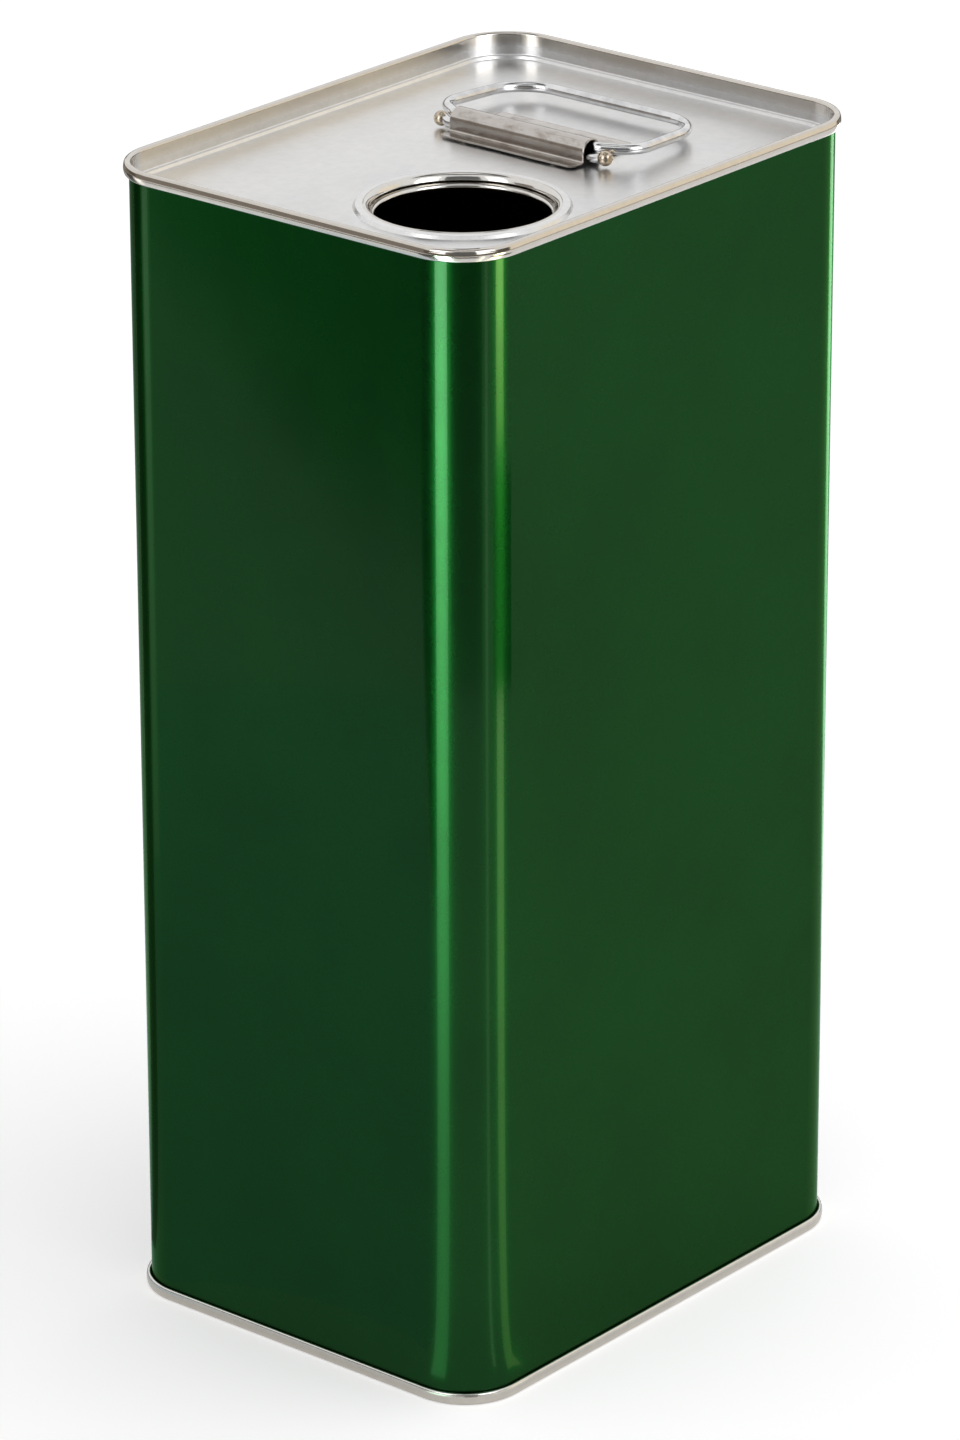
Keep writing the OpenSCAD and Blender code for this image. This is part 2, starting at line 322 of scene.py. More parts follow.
class Pen:
    """Draws a line of edges in the XZ plane.

    A point is extruded along straights and spun round bends. A spin here turns against the
    right-hand rule, so that about Y it goes from X towards up.
    """

    def __init__(self, name: str, origin: Vector, start: Pair, side: int = 1) -> None:
        """Put down the line's first point.

        Args:
            name: The new object's name.
            origin: The place of the drawing's zero.
            start: The first point, as distances along X and up from the origin.
            side: 1, or -1 to draw upside down.
        """
        self.origin, self.side = origin, side
        self.tip = self.place(*start)
        bpy.ops.object.select_all(action="DESELECT")
        bpy.ops.mesh.primitive_plane_add(size=MM, location=self.tip)
        self.piece = bpy.context.object
        self.piece.name = name
        bpy.ops.object.transform_apply(location=True, rotation=False, scale=False)
        bpy.ops.object.mode_set(mode="EDIT")
        bpy.ops.mesh.select_mode(type="VERT")
        bpy.ops.mesh.select_all(action="SELECT")
        bpy.ops.mesh.merge(type="CENTER")

    def place(self, across: float, up: float) -> Vector:
        """Return the place of a point of the drawing."""
        return self.origin + Vector((across, 0, self.side * up))

    def line(self, across: float, up: float, parts: int = 1) -> None:
        """Draw a straight.

        Args:
            across: The end's place along X.
            up: The end's place upwards.
            parts: The number of equal parts.
        """
        step = (self.place(across, up) - self.tip) / parts
        for _ in range(parts):
            bpy.ops.mesh.extrude_region_move(TRANSFORM_OT_translate={"value": step})
        self.tip = self.place(across, up)

    def bend(self, across: float, up: float, degrees: float, steps: int = 5) -> None:
        """Draw an arc.

        Args:
            across: Its centre along X.
            up: Its centre upwards.
            degrees: Its angle, positive from X towards up.
            steps: The number of parts.
        """
        centre = self.place(across, up)
        turn = math.radians(degrees) * self.side
        bpy.ops.mesh.spin(steps=steps, angle=turn, center=centre, axis=(0, 1, 0))
        self.tip = centre + Matrix.Rotation(-turn, 3, "Y") @ (self.tip - centre)

    def curve(
        self, across: float, up: float, radii: Pair, start: float, sweep: float, steps: int = 16,
    ) -> None:
        """Draw part of an ellipse, point by point.

        Args:
            across: The ellipse's middle along X.
            up: The ellipse's middle upwards.
            radii: Its radii along X and upwards.
            start: The angle it starts at, in degrees from X towards up.
            sweep: The angle it covers.
            steps: The number of parts.
        """
        for step in range(steps + 1):
            angle = math.radians(start + sweep * step / steps)
            self.line(across + radii[0] * math.cos(angle), up + radii[1] * math.sin(angle))

    def select_line(self) -> None:
        """Select the whole line, ready to be carried along."""
        bpy.ops.mesh.select_all(action="SELECT")


def carry(step: Vector, parts: int) -> None:
    """Extrude what is selected along a step, in a number of equal parts."""
    for _ in range(parts):
        bpy.ops.mesh.extrude_region_move(TRANSFORM_OT_translate={"value": step / parts})


@dataclass(frozen=True)
class Outline:
    """The rounded outline of the tin's body."""

    half_x: float
    half_y: float
    height: float
    corner: float = 15.5 * MM
    corner_steps: int = 20
    long_parts: int = 15
    short_parts: int = 11

    @classmethod
    def from_frame(cls, rim_reach: float) -> "Outline":
        """Read the outline from the whole object's box.

        Args:
            rim_reach: How far the rims stand out from the body.

        Returns:
            The outline of the body's outer face.
        """
        low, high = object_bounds()
        return cls(
            half_x=(high[0] - low[0]) / 2 - rim_reach,
            half_y=(high[1] - low[1]) / 2 - rim_reach,
            height=high[2] - low[2],
        )

    @property
    def points_round(self) -> int:
        """Number of points once round the outline."""
        return 4 * self.corner_steps + 2 * (self.long_parts + self.short_parts)

    @property
    def seam_start(self) -> Vector:
        """Where a section is drawn: on the body's face, where the right side's straight starts."""
        return Vector((self.half_x, self.corner - self.half_y, 0))

    def sweep(self) -> None:
        """Carry the selected section once round the body, from the right side's straight."""
        flat_x, flat_y = self.half_x - self.corner, self.half_y - self.corner
        quarter = -math.pi / 2
        legs = (
            (Vector((0, 2 * flat_y, 0)), self.short_parts, (flat_x, flat_y)),
            (Vector((-2 * flat_x, 0, 0)), self.long_parts, (-flat_x, flat_y)),
            (Vector((0, -2 * flat_y, 0)), self.short_parts, (-flat_x, -flat_y)),
            (Vector((2 * flat_x, 0, 0)), self.long_parts, (flat_x, -flat_y)),
        )
        for step, parts, centre in legs:
            carry(step, parts)
            bpy.ops.mesh.spin(
                steps=self.corner_steps, angle=quarter, center=(*centre, 0), axis=(0, 0, 1)
            )


# Node trees


@dataclass(frozen=True)
class Pattern:
    """A noise on a surface.

    Its scale is the number of its features in a metre. Its rise is the real height of its
    relief, and its strength the share of that which shows.
    """

    scale: float
    detail: float = 2.0
    roughness: float = 0.5
    stretch: tuple[float, float, float] | None = None
    rise: float = 0.0
    strength: float = 0.0


class Graph:
    """Builds a node tree with short calls."""

    def __init__(self, tree: bpy.types.NodeTree, material: Material | None = None) -> None:
        """Start with an empty tree, which may be a material's."""
        self.tree, self.material = tree, material
        tree.nodes.clear()

    @classmethod
    def for_material(cls, name: str) -> "Graph":
        """Make a new material and start its graph.

        Args:
            name: The material's name.

        Returns:
            The graph.
        """
        material = bpy.data.materials.new(name)
        material.use_nodes = True
        return cls(material.node_tree, material)

    def node(self, kind: str, inputs: dict | None = None, **settings: object) -> bpy.types.Node:
        """Add a node.

        Args:
            kind: The node's type, without its ShaderNode prefix.
            inputs: Values or linked sockets, by the input's name or number.
            settings: The node's own settings by name.

        Returns:
            The node.
        """
        node = self.tree.nodes.new("ShaderNode" + kind)
        for name, value in settings.items():
            setattr(node, name, value)
        for key, value in (inputs or {}).items():
            if isinstance(value, Socket):
                self.tree.links.new(value, node.inputs[key])
            elif isinstance(value, tuple) and len(value) == 3 and node.inputs[key].type == "RGBA":
                node.inputs[key].default_value = (*value, 1)
            else:
                node.inputs[key].default_value = value
        return node

    def math(self, operation: str, first: Socket | float, second: Socket | float = 0.0) -> Socket:
        """Return the result of a Math node."""
        return self.node("Math", {0: first, 1: second}, operation=operation).outputs[0]

    def place(self) -> Socket:
        """Return the place on the piece, in metres."""
        return self.node("TexCoord").outputs["Object"]

    def split(self, vector: Socket) -> tuple[Socket, Socket, Socket]:
        """Return a vector's three parts."""
        parts = self.node("SeparateXYZ", {0: vector})
        return parts.outputs[0], parts.outputs[1], parts.outputs[2]

    def stretched(self, vector: Socket, scale: tuple[float, float, float]) -> Socket:
        """Return a place scaled along each axis."""
        return self.node("Mapping", {"Vector": vector, "Scale": scale}).outputs[0]

    def noise(self, place: Socket, pattern: Pattern) -> Socket:
        """Return a pattern's noise.

        Args:
            place: The place on the piece.
            pattern: The pattern.

        Returns:
            The noise, between 0 and 1.
        """
        if pattern.stretch is not None:
            place = self.stretched(place, pattern.stretch)
        inputs = {
            "Vector": place, "Scale": pattern.scale,
            "Detail": pattern.detail, "Roughness": pattern.roughness,
        }
        return self.node("TexNoise", inputs).outputs[0]

    def remap(
        self, value: Socket, start: float, end: float, low: float = 0.0, high: float = 1.0,
        smooth: bool = True,
    ) -> Socket:
        """Carry a value from one range to another.

        Args:
            value: The value.
            start: The value that gives low.
            end: The value that gives high.
            low: The result at start and before it.
            high: The result at end and past it.
            smooth: Whether it eases in and out.

        Returns:
            The result.
        """
        inputs = {"Value": value, "From Min": start, "From Max": end, "To Min": low, "To Max": high}
        kind = "SMOOTHSTEP" if smooth else "LINEAR"
        return self.node("MapRange", inputs, interpolation_type=kind, clamp=True).outputs[0]

    def distance(self, vector: Socket, point: Sequence[float], flat: bool = False) -> Socket:
        """Return the distance from a point.

        Args:
            vector: The place.
            point: The point.
            flat: Whether it is measured from the upright line through the point.

        Returns:
            The distance.
        """
        if flat:
            vector = self.stretched(vector, (1, 1, 0))
            point = (point[0], point[1], 0)
        return self.node(
            "VectorMath", {0: vector, 1: tuple(point)}, operation="DISTANCE"
        ).outputs["Value"]

    def blend(self, share: Socket | float, first: Socket | Colour, second: Socket | Colour) -> Socket:
        """Return a colour between two, by a share of the second."""
        return self.node(
            "Mix", {0: share, 6: first, 7: second}, data_type="RGBA"
        ).outputs[2]

    def mottled(self, colour: Socket, factor: Socket) -> Socket:
        """Return a colour multiplied by a number."""
        return self.node(
            "Mix", {0: 1.0, 6: colour, 7: factor}, data_type="RGBA", blend_type="MULTIPLY"
        ).outputs[2]

    def between(self, share: Socket, first: Socket | float, second: Socket | float) -> Socket:
        """Return a number between two, by a share of the second."""
        return self.node("Mix", {0: share, 2: first, 3: second}).outputs[0]

    def bump(
        self, height: Socket, rise: float, strength: float, under: Socket | None = None,
    ) -> Socket:
        """Return normals pushed about by a height.

        Args:
            height: The height, about 0 to 1.
            rise: The real height of 1, in metres.
            strength: The share of it that shows.
            under: Normals of coarser bumps.

        Returns:
            The normals.
        """
        inputs = {"Height": height, "Distance": rise, "Strength": strength}
        if under is not None:
            inputs["Normal"] = under
        return self.node("Bump", inputs).outputs[0]

    def emboss(self, *layers: tuple[Socket, Pattern], under: Socket | None = None) -> Socket:
        """Return normals pushed about by patterns.

        Args:
            layers: Each pattern's noise with the pattern, the coarsest first.
            under: Normals of a coarser bump below them all.

        Returns:
            The normals.
        """
        for noise, pattern in layers:
            under = self.bump(noise, pattern.rise, pattern.strength, under)
        return under

    def surface(self, inputs: dict) -> Material:
        """Close the graph with a Principled shader.

        Args:
            inputs: The shader's values or linked sockets, by name.

        Returns:
            The graph's material.
        """
        shader = self.node("BsdfPrincipled", inputs)
        self.node("OutputMaterial", {0: shader.outputs[0]})
        return self.material


# Finishes


@dataclass(frozen=True)
class GreenLacquer:
    """Clear green lacquer over bright sheet, left off along the weld."""

    deep: Colour = (0.0030, 0.043, 0.0070)
    light: Colour = (0.0036, 0.049, 0.0082)
    edge: Colour = (0.30, 0.62, 0.36)
    bare: Colour = (0.42, 0.43, 0.40)
    scorch: Colour = (0.16, 0.15, 0.16)
    glint: Pair = (0.92, 1.12)
    roughness: Pair = (0.255, 0.285)
    clear: float = 0.19
    gloss: float = 0.075
    margin: float = 3.4 * MM
    margin_fade: float = 0.25 * MM
    ragged: float = 0.15 * MM
    heat: Pair = (0.6 * MM, 1.7 * MM)
    weld_side: float = 2 * MM
    cloud: Pattern = Pattern(22, 3, 0.6, rise=0.10 * MM, strength=0.15)
    peel: Pattern = Pattern(620, 2, 0.5, rise=0.008 * MM, strength=0.12)
    grain: Pattern = Pattern(2600, 3, 0.7, rise=0.004 * MM, strength=0.42)
    scuffs: Pattern = Pattern(90, 4, 0.6)

    def build(self, weld_x: float) -> Material:
        """Build the material.

        Args:
            weld_x: The body face that carries the weld, along X.

        Returns:
            The material.
        """
        graph = Graph.for_material("lacquered_sheet")
        place = graph.place()
        x, y, _ = graph.split(place)
        cloud = graph.noise(place, self.cloud)
        grain = graph.noise(place, self.grain)
        peel = graph.noise(place, self.peel)
        scuffs = graph.noise(place, self.scuffs)
        from_weld = graph.math("ABSOLUTE", y)
        on_weld_side = graph.remap(x, weld_x - self.weld_side, weld_x - self.weld_side / 2)
        border = graph.math(
            "ADD", from_weld, graph.remap(peel, 0, 1, -self.ragged, self.ragged)
        )
        inside = graph.remap(border, self.margin, self.margin - self.margin_fade)
        bare_strip = graph.math("MULTIPLY", on_weld_side, inside)
        steel = graph.blend(graph.remap(from_weld, *self.heat), self.scorch, self.bare)
        green = graph.blend(graph.remap(cloud, 0.3, 0.7), self.deep, self.light)
        green = graph.mottled(green, graph.remap(grain, 0.3, 0.75, *self.glint))
        return graph.surface({
            "Base Color": graph.blend(bare_strip, green, steel),
            "Specular Tint": self.edge,
            "Coat Weight": self.clear,
            "Coat Roughness": self.gloss,
            "Metallic": 1.0,
            "Roughness": graph.remap(scuffs, 0.3, 0.7, *self.roughness),
            "Normal": graph.emboss((cloud, self.cloud), (peel, self.peel), (grain, self.grain)),
        })


@dataclass(frozen=True)
class InnerLacquerAndShade:
    """Baked lacquer inside the tin, warm in tint; its very dark tone is painted shade for the inside
    of the closed tin.
    """

    # painted shade: both tones are kept very dark to stand in for the shade inside the closed tin;
    # their warm tint is the lacquer's own
    tone: Colour = (0.055, 0.026, 0.012)
    thin: Colour = (0.09, 0.045, 0.02)
    metal: float = 0.7
    roughness: Pair = (0.42, 0.55)
    run: Pattern = Pattern(60, 3, 0.6, stretch=(1, 1, 0.3))
    peel: Pattern = Pattern(700, rise=0.01 * MM, strength=0.4)

    def build(self) -> Material:
        """Build the material.

        Returns:
            The material.
        """
        graph = Graph.for_material("inner_lacquer_and_shade")
        place = graph.place()
        run = graph.noise(place, self.run)
        return graph.surface({
            "Base Color": graph.blend(graph.remap(run, 0.3, 0.7), self.tone, self.thin),
            "Metallic": self.metal,
            "Roughness": graph.remap(run, 0.2, 0.8, *self.roughness),
            "Normal": graph.emboss((graph.noise(place, self.peel), self.peel)),
        })


@dataclass(frozen=True)
class Tinplate:
    """Bare tinplate: satin on the panels, rubbed brighter on the rims and on the neck's lip, with
    painted shade and reflection as a darker tan on the rims and upper recess walls.
    """

    panel: Colour = (0.735, 0.73, 0.725)
    cloudy: Colour = (0.70, 0.70, 0.70)
    spotted: Colour = (0.52, 0.51, 0.49)
    # painted shade and reflection: a darker tan for the rims and the upper recess walls, standing in
    # for the dim, warm surroundings they mirror
    rim: Colour = (0.60, 0.565, 0.515)
    lip: Colour = (0.66, 0.64, 0.61)
    satin: float = 0.30
    polish: float = 0.12
    ring_polish: float = 0.22
    lip_polish: float = 0.11
    uneven: Pair = (-0.02, 0.03)
    spotting: float = 0.12
    mottling: Pair = (0.965, 1.03)
    rim_fade: Pair = (4.2 * MM, 1.6 * MM)
    ring_fade: Pair = (0.4 * MM, -0.4 * MM)
    lip_fade: Pair = (0.5 * MM, -0.1 * MM)
    crown: float = 1.3 * MM
    crown_reach: float = 11 * MM
    crown_start: float = 2.5 * MM
    cloud: Pattern = Pattern(34, 4, 0.62, rise=0.08 * MM, strength=0.15)
    roll: Pattern = Pattern(1, 3, 0.6, stretch=(90, 2600, 2600), rise=0.002 * MM, strength=0.12)
    mottle: Pattern = Pattern(420, 3, 0.65, rise=0.004 * MM, strength=0.2)
    scratch: Pattern = Pattern(1, 5, 0.75, stretch=(1500, 120, 700))
    stain: Pattern = Pattern(150, 5, 0.7)

    def build(self, outline: Outline, neck: Vector, lip_out: float, ring_out: float) -> Material:
        """Build the material.

        Args:
            outline: The body's outline.
            neck: The middle of the neck.
            lip_out: The outer radius of the neck's lip.
            ring_out: The outer radius of the raised ring.

        Returns:
            The material.
        """
        graph = Graph.for_material("bare_tinplate")
        place = graph.place()
        _, _, z = graph.split(place)
        middle = outline.height / 2
        from_middle = graph.math("ABSOLUTE", graph.math("SUBTRACT", z, middle))
        on_rim = graph.remap(from_middle, middle - self.rim_fade[0], middle - self.rim_fade[1])
        from_neck = graph.distance(place, neck, flat=True)
        above = graph.remap(z, middle, middle + 1 * MM)
        on_lip, on_ring = (
            graph.math("MULTIPLY", above, graph.remap(from_neck, edge + fade[0], edge + fade[1]))
            for edge, fade in ((lip_out, self.lip_fade), (ring_out, self.ring_fade))
        )
        cloud = graph.noise(place, self.cloud)
        mottle = graph.noise(place, self.mottle)
        roll = graph.noise(place, self.roll)
        scratch = graph.noise(place, self.scratch)
        stain = graph.remap(graph.noise(place, self.stain), 0.58, 0.75)
        tone = graph.blend(graph.remap(cloud, 0.32, 0.68), self.panel, self.cloudy)
        tone = graph.blend(graph.math("MULTIPLY", stain, self.spotting), tone, self.spotted)
        # painted shade and reflection: the rims and the upper part of the recess walls turn a darker
        # tan
        tone = graph.blend(on_rim, tone, self.rim)
        tone = graph.blend(on_lip, tone, self.lip)
        rough = graph.between(on_rim, self.satin, self.polish)
        rough = graph.between(on_ring, rough, self.ring_polish)
        rough = graph.between(on_lip, rough, self.lip_polish)
        crown = graph.bump(self.border_rise(graph, place, outline), self.crown, 1.0)
        return graph.surface({
            "Base Color": graph.mottled(tone, graph.remap(mottle, 0.25, 0.75, *self.mottling)),
            "Metallic": 1.0,
            "Roughness": graph.math("ADD", rough, graph.remap(scratch, 0.3, 0.75, *self.uneven)),
            "Normal": graph.emboss(
                (cloud, self.cloud), (roll, self.roll), (mottle, self.mottle), under=crown
            ),
        })

    def border_rise(self, graph: Graph, place: Socket, outline: Outline) -> Socket:
        """Return how much a panel rises towards its border, where the pressing has stretched it.

        Args:
            graph: The material's graph.
            place: The place on the piece.
            outline: The body's outline.

        Returns:
            The rise, 1 at the border and fading inwards.
        """
        x, y, _ = graph.split(place)
        rises = []
        for part, half in ((x, outline.half_x), (y, outline.half_y)):
            inward = graph.math("SUBTRACT", half - self.crown_start, graph.math("ABSOLUTE", part))
            inward = graph.math("MAXIMUM", inward, 0.0)
            rises.append(graph.math("EXPONENT", graph.math("DIVIDE", inward, -self.crown_reach)))
        return graph.math("ADD", *rises)


@dataclass(frozen=True)
class RolledSteel:
    """The bracket's strip, with rolling lines along it, a darker oxide and bright cut edges."""

    clean: Colour = (0.52, 0.49, 0.46)
    oxide: Colour = (0.27, 0.225, 0.19)
    scorch: Colour = (0.12, 0.11, 0.10)
    lined: float = 0.35
    specked: float = 0.5
    heated: float = 0.55
    blot: float = 2.6 * MM
    blot_edge: Pair = (-0.5 * MM, 0.7 * MM)
    polish: Pair = (0.13, 0.22)
    patchy: float = 0.05
    lines: Pattern = Pattern(1, 3, 0.65, stretch=(3200, 45, 3200), rise=0.006 * MM, strength=0.4)
    patch: Pattern = Pattern(330, 4, 0.65, stretch=(1, 0.5, 1), rise=0.04 * MM, strength=0.2)
    speck: Pattern = Pattern(1900, 3, 0.6)

    def build(self, welds: Sequence[Vector]) -> Material:
        """Build the material.

        Args:
            welds: The middles of the spot welds, whose heat has discoloured the strip.

        Returns:
            The material.
        """
        graph = Graph.for_material("rolled_strip")
        place = graph.place()
        lines = graph.noise(place, self.lines)
        patch = graph.noise(place, self.patch)
        speck = graph.noise(place, self.speck)
        tone = graph.blend(graph.remap(patch, 0.42, 0.85), self.clean, self.oxide)
        tone = graph.blend(graph.remap(lines, 0.55, 0.8, 0, self.lined), tone, self.oxide)
        tone = graph.blend(graph.remap(speck, 0.64, 0.76, 0, self.specked), tone, self.scorch)
        heat: Socket | float = 0.0
        for weld in welds:
            ragged = graph.remap(patch, 0.2, 0.8, *self.blot_edge)
            near = graph.math("ADD", graph.distance(place, weld), ragged)
            spot = graph.remap(near, self.blot, self.blot / 2, 0, self.heated)
            heat = graph.math("MAXIMUM", heat, spot)
        rough = graph.remap(lines, 0.3, 0.8, *self.polish)
        return graph.surface({
            "Base Color": graph.blend(heat, tone, self.scorch),
            "Metallic": 1.0,
            "Roughness": graph.math("ADD", rough, graph.remap(patch, 0.4, 0.8, 0, self.patchy)),
            "Normal": graph.emboss((patch, self.patch), (lines, self.lines)),
        })


@dataclass(frozen=True)
class BrightWire:
    """Drawn and plated wire, with duller, warmer swelled ends."""

    plate: Colour = (0.74, 0.74, 0.745)
    dull: Colour = (0.55, 0.55, 0.56)
    bead: Colour = (0.62, 0.52, 0.39)
    crust: Colour = (0.36, 0.29, 0.21)
    polish: Pair = (0.07, 0.16)
    bead_satin: float = 0.24
    bead_fade: Pair = (0.4 * MM, -0.1 * MM)
    draw: Pattern = Pattern(700, 4, 0.7, rise=0.02 * MM, strength=0.22)
    pits: Pattern = Pattern(2400, 3, 0.7, rise=0.006 * MM, strength=0.3)
    smear: Pattern = Pattern(130, 3, 0.6)

    def build(self, beads: Sequence[Vector], reach: float) -> Material:
        """Build the material.

        Args:
            beads: The middles of the swelled ends.
            reach: The radius about each that takes their colour.

        Returns:
            The material.
        """
        graph = Graph.for_material("plated_wire")
        place = graph.place()
        draw = graph.noise(place, self.draw)
        pits = graph.noise(place, self.pits)
        smear = graph.noise(place, self.smear)
        start, end = self.bead_fade
        on_bead: Socket | float = 0.0
        for bead in beads:
            near = graph.remap(graph.distance(place, bead), reach + start, reach + end)
            on_bead = graph.math("MAXIMUM", on_bead, near)
        tone = graph.blend(graph.remap(smear, 0.35, 0.7), self.plate, self.dull)
        crust = graph.blend(graph.remap(draw, 0.4, 0.62), self.bead, self.crust)
        rough = graph.remap(smear, 0.3, 0.75, *self.polish)
        return graph.surface({
            "Base Color": graph.blend(on_bead, tone, crust),
            "Metallic": 1.0,
            "Roughness": graph.between(on_bead, rough, self.bead_satin),
            "Normal": graph.emboss((draw, self.draw), (pits, self.pits)),
        })


@dataclass(frozen=True)
class SealingRubber:
    """The dark compound inside the seams."""

    tone: Colour = (0.035, 0.034, 0.032)
    dusty: Colour = (0.06, 0.058, 0.052)
    roughness: Pair = (0.6, 0.8)
    lumps: Pattern = Pattern(900, 3, 0.6, rise=0.05 * MM, strength=0.5)

    def build(self) -> Material:
        """Build the material.

        Returns:
            The material.
        """
        graph = Graph.for_material("seam_compound")
        lumps = graph.noise(graph.place(), self.lumps)
        return graph.surface({
            "Base Color": graph.blend(graph.remap(lumps, 0.3, 0.7), self.tone, self.dusty),
            "Roughness": graph.remap(lumps, 0.2, 0.8, *self.roughness),
            "Normal": graph.emboss((lumps, self.lumps)),
        })


# The tin's pieces


@dataclass
class TinBody:
    """The four walls of the tin: one sheet, welded down the right side and hooked at both ends."""

    outline: Outline
    sheet: float = 0.30 * MM
    hook_root: float = 0.79 * MM
    hook_out: float = 0.63 * MM
    hook_end: float = 2.39 * MM
    fold: float = 0.05 * MM
    rows: int = 26
    bow: float = 0.30 * MM
    bow_margin: float = 62 * MM
    bow_flat: float = 4 * MM
    near_middle: float = 6 * MM
    weld_half: float = 0.6 * MM
    weld_rise: float = 0.15 * MM
    weld_low: float = 3.64 * MM

    def draw_wall(self) -> Object:
        """Draw the sheet's outer face from hook to hook and carry it round the body.

        Returns:
            The wall in edit mode.
        """
        top = self.outline.height
        root, out, fold = self.hook_root + self.fold, self.hook_out, self.fold
        pen = Pen("wall", self.outline.seam_start, (out, top - self.hook_end))
        pen.line(out, top - root)
        pen.bend(out - fold, top - root, 90, 3)
        pen.line(fold, top - root + fold)
        pen.bend(fold, top - root, 90, 3)
        pen.line(0, root, self.rows)
        pen.bend(fold, root, 90, 3)
        pen.line(out - fold, root - fold)
        pen.bend(out - fold, root, 90, 3)
        pen.line(out, self.hook_end)
        pen.select_line()
        self.outline.sweep()
        close_seams()
        face_towards(pen.piece, Vector((0, -self.outline.half_y, top / 2)), Vector((0, -1, 0)))
        return pen.piece

    def bow_panels(self, piece: Object) -> None:
        """Push the middle of each side out a little, as the sheet's spring does.

        Args:
            piece: The wall in edit mode.
        """
        shape = self.outline
        sides = ((0, shape.half_x, shape.half_y), (1, shape.half_y, shape.half_x))
        bpy.ops.mesh.select_mode(type="VERT")
        for axis, half, across in sides:
            for side in (-1, 1):
                face = side * half

                def in_middle(place: Vector, axis: int = axis, face: float = face) -> bool:
                    """Tell whether a point is on the upright line in the middle of this side."""
                    return (
                        abs(place[axis] - face) < 0.1 * MM
                        and abs(place[1 - axis]) < self.near_middle
                        and self.bow_margin < place.z < shape.height - self.bow_margin
                    )

                pick_points(piece, in_middle)
                push = [0.0, 0.0, 0.0]
                push[axis] = side * self.bow
                push_softly(push, across - shape.corner - self.bow_flat)

    def raise_weld(self, piece: Object) -> None:
        """Raise the narrow overlap of the weld on the right side's outer face.

        Args:
            piece: The wall in object mode, with its thickness.
        """
        shape = self.outline
        low, high = self.weld_low, shape.height - self.weld_low

        def beside_weld(middle: Vector, _: Vector) -> bool:
            """Tell whether a face is near the weld, on either side of the sheet."""
            return middle.x > shape.half_x - 1 * MM and abs(middle.y) < self.near_middle

        def on_weld(middle: Vector, normal: Vector) -> bool:
            """Tell whether a face is on the outer side of the weld itself."""
            outer = normal.x > 0.9 and middle.x > shape.half_x - 0.1 * MM
            return outer and abs(middle.y) < self.weld_half and low < middle.z < high

        start_edit(piece)
        for edge in (-self.weld_half, self.weld_half):
            pick_faces(piece, beside_weld)
            bpy.ops.mesh.bisect(plane_co=(0, edge, 0), plane_no=(0, 1, 0))
        for level in (low, high):
            pick_faces(piece, beside_weld)
            bpy.ops.mesh.bisect(plane_co=(0, 0, level), plane_no=(0, 0, 1))
        pick_faces(piece, on_weld)
        bpy.ops.mesh.extrude_region_move(
            TRANSFORM_OT_translate={"value": (self.weld_rise, 0, 0)}
        )
        leave_edit()

    def build(self, outside: Material, inside: Material) -> Object:
        """Build and dress the walls.

        Args:
            outside: The finish of the outer face.
            inside: The finish of the inner face.

        Returns:
            The finished piece.
        """
        piece = self.draw_wall()
        self.bow_panels(piece)
        leave_edit()
        dress(piece, (outside, inside))
        give_wall(piece, self.sheet, 1)
        self.raise_weld(piece)
        shade(piece)
        enter(piece, "tin_walls", Body.TIN, Slot.LACQUER, "body_shell")
        return piece


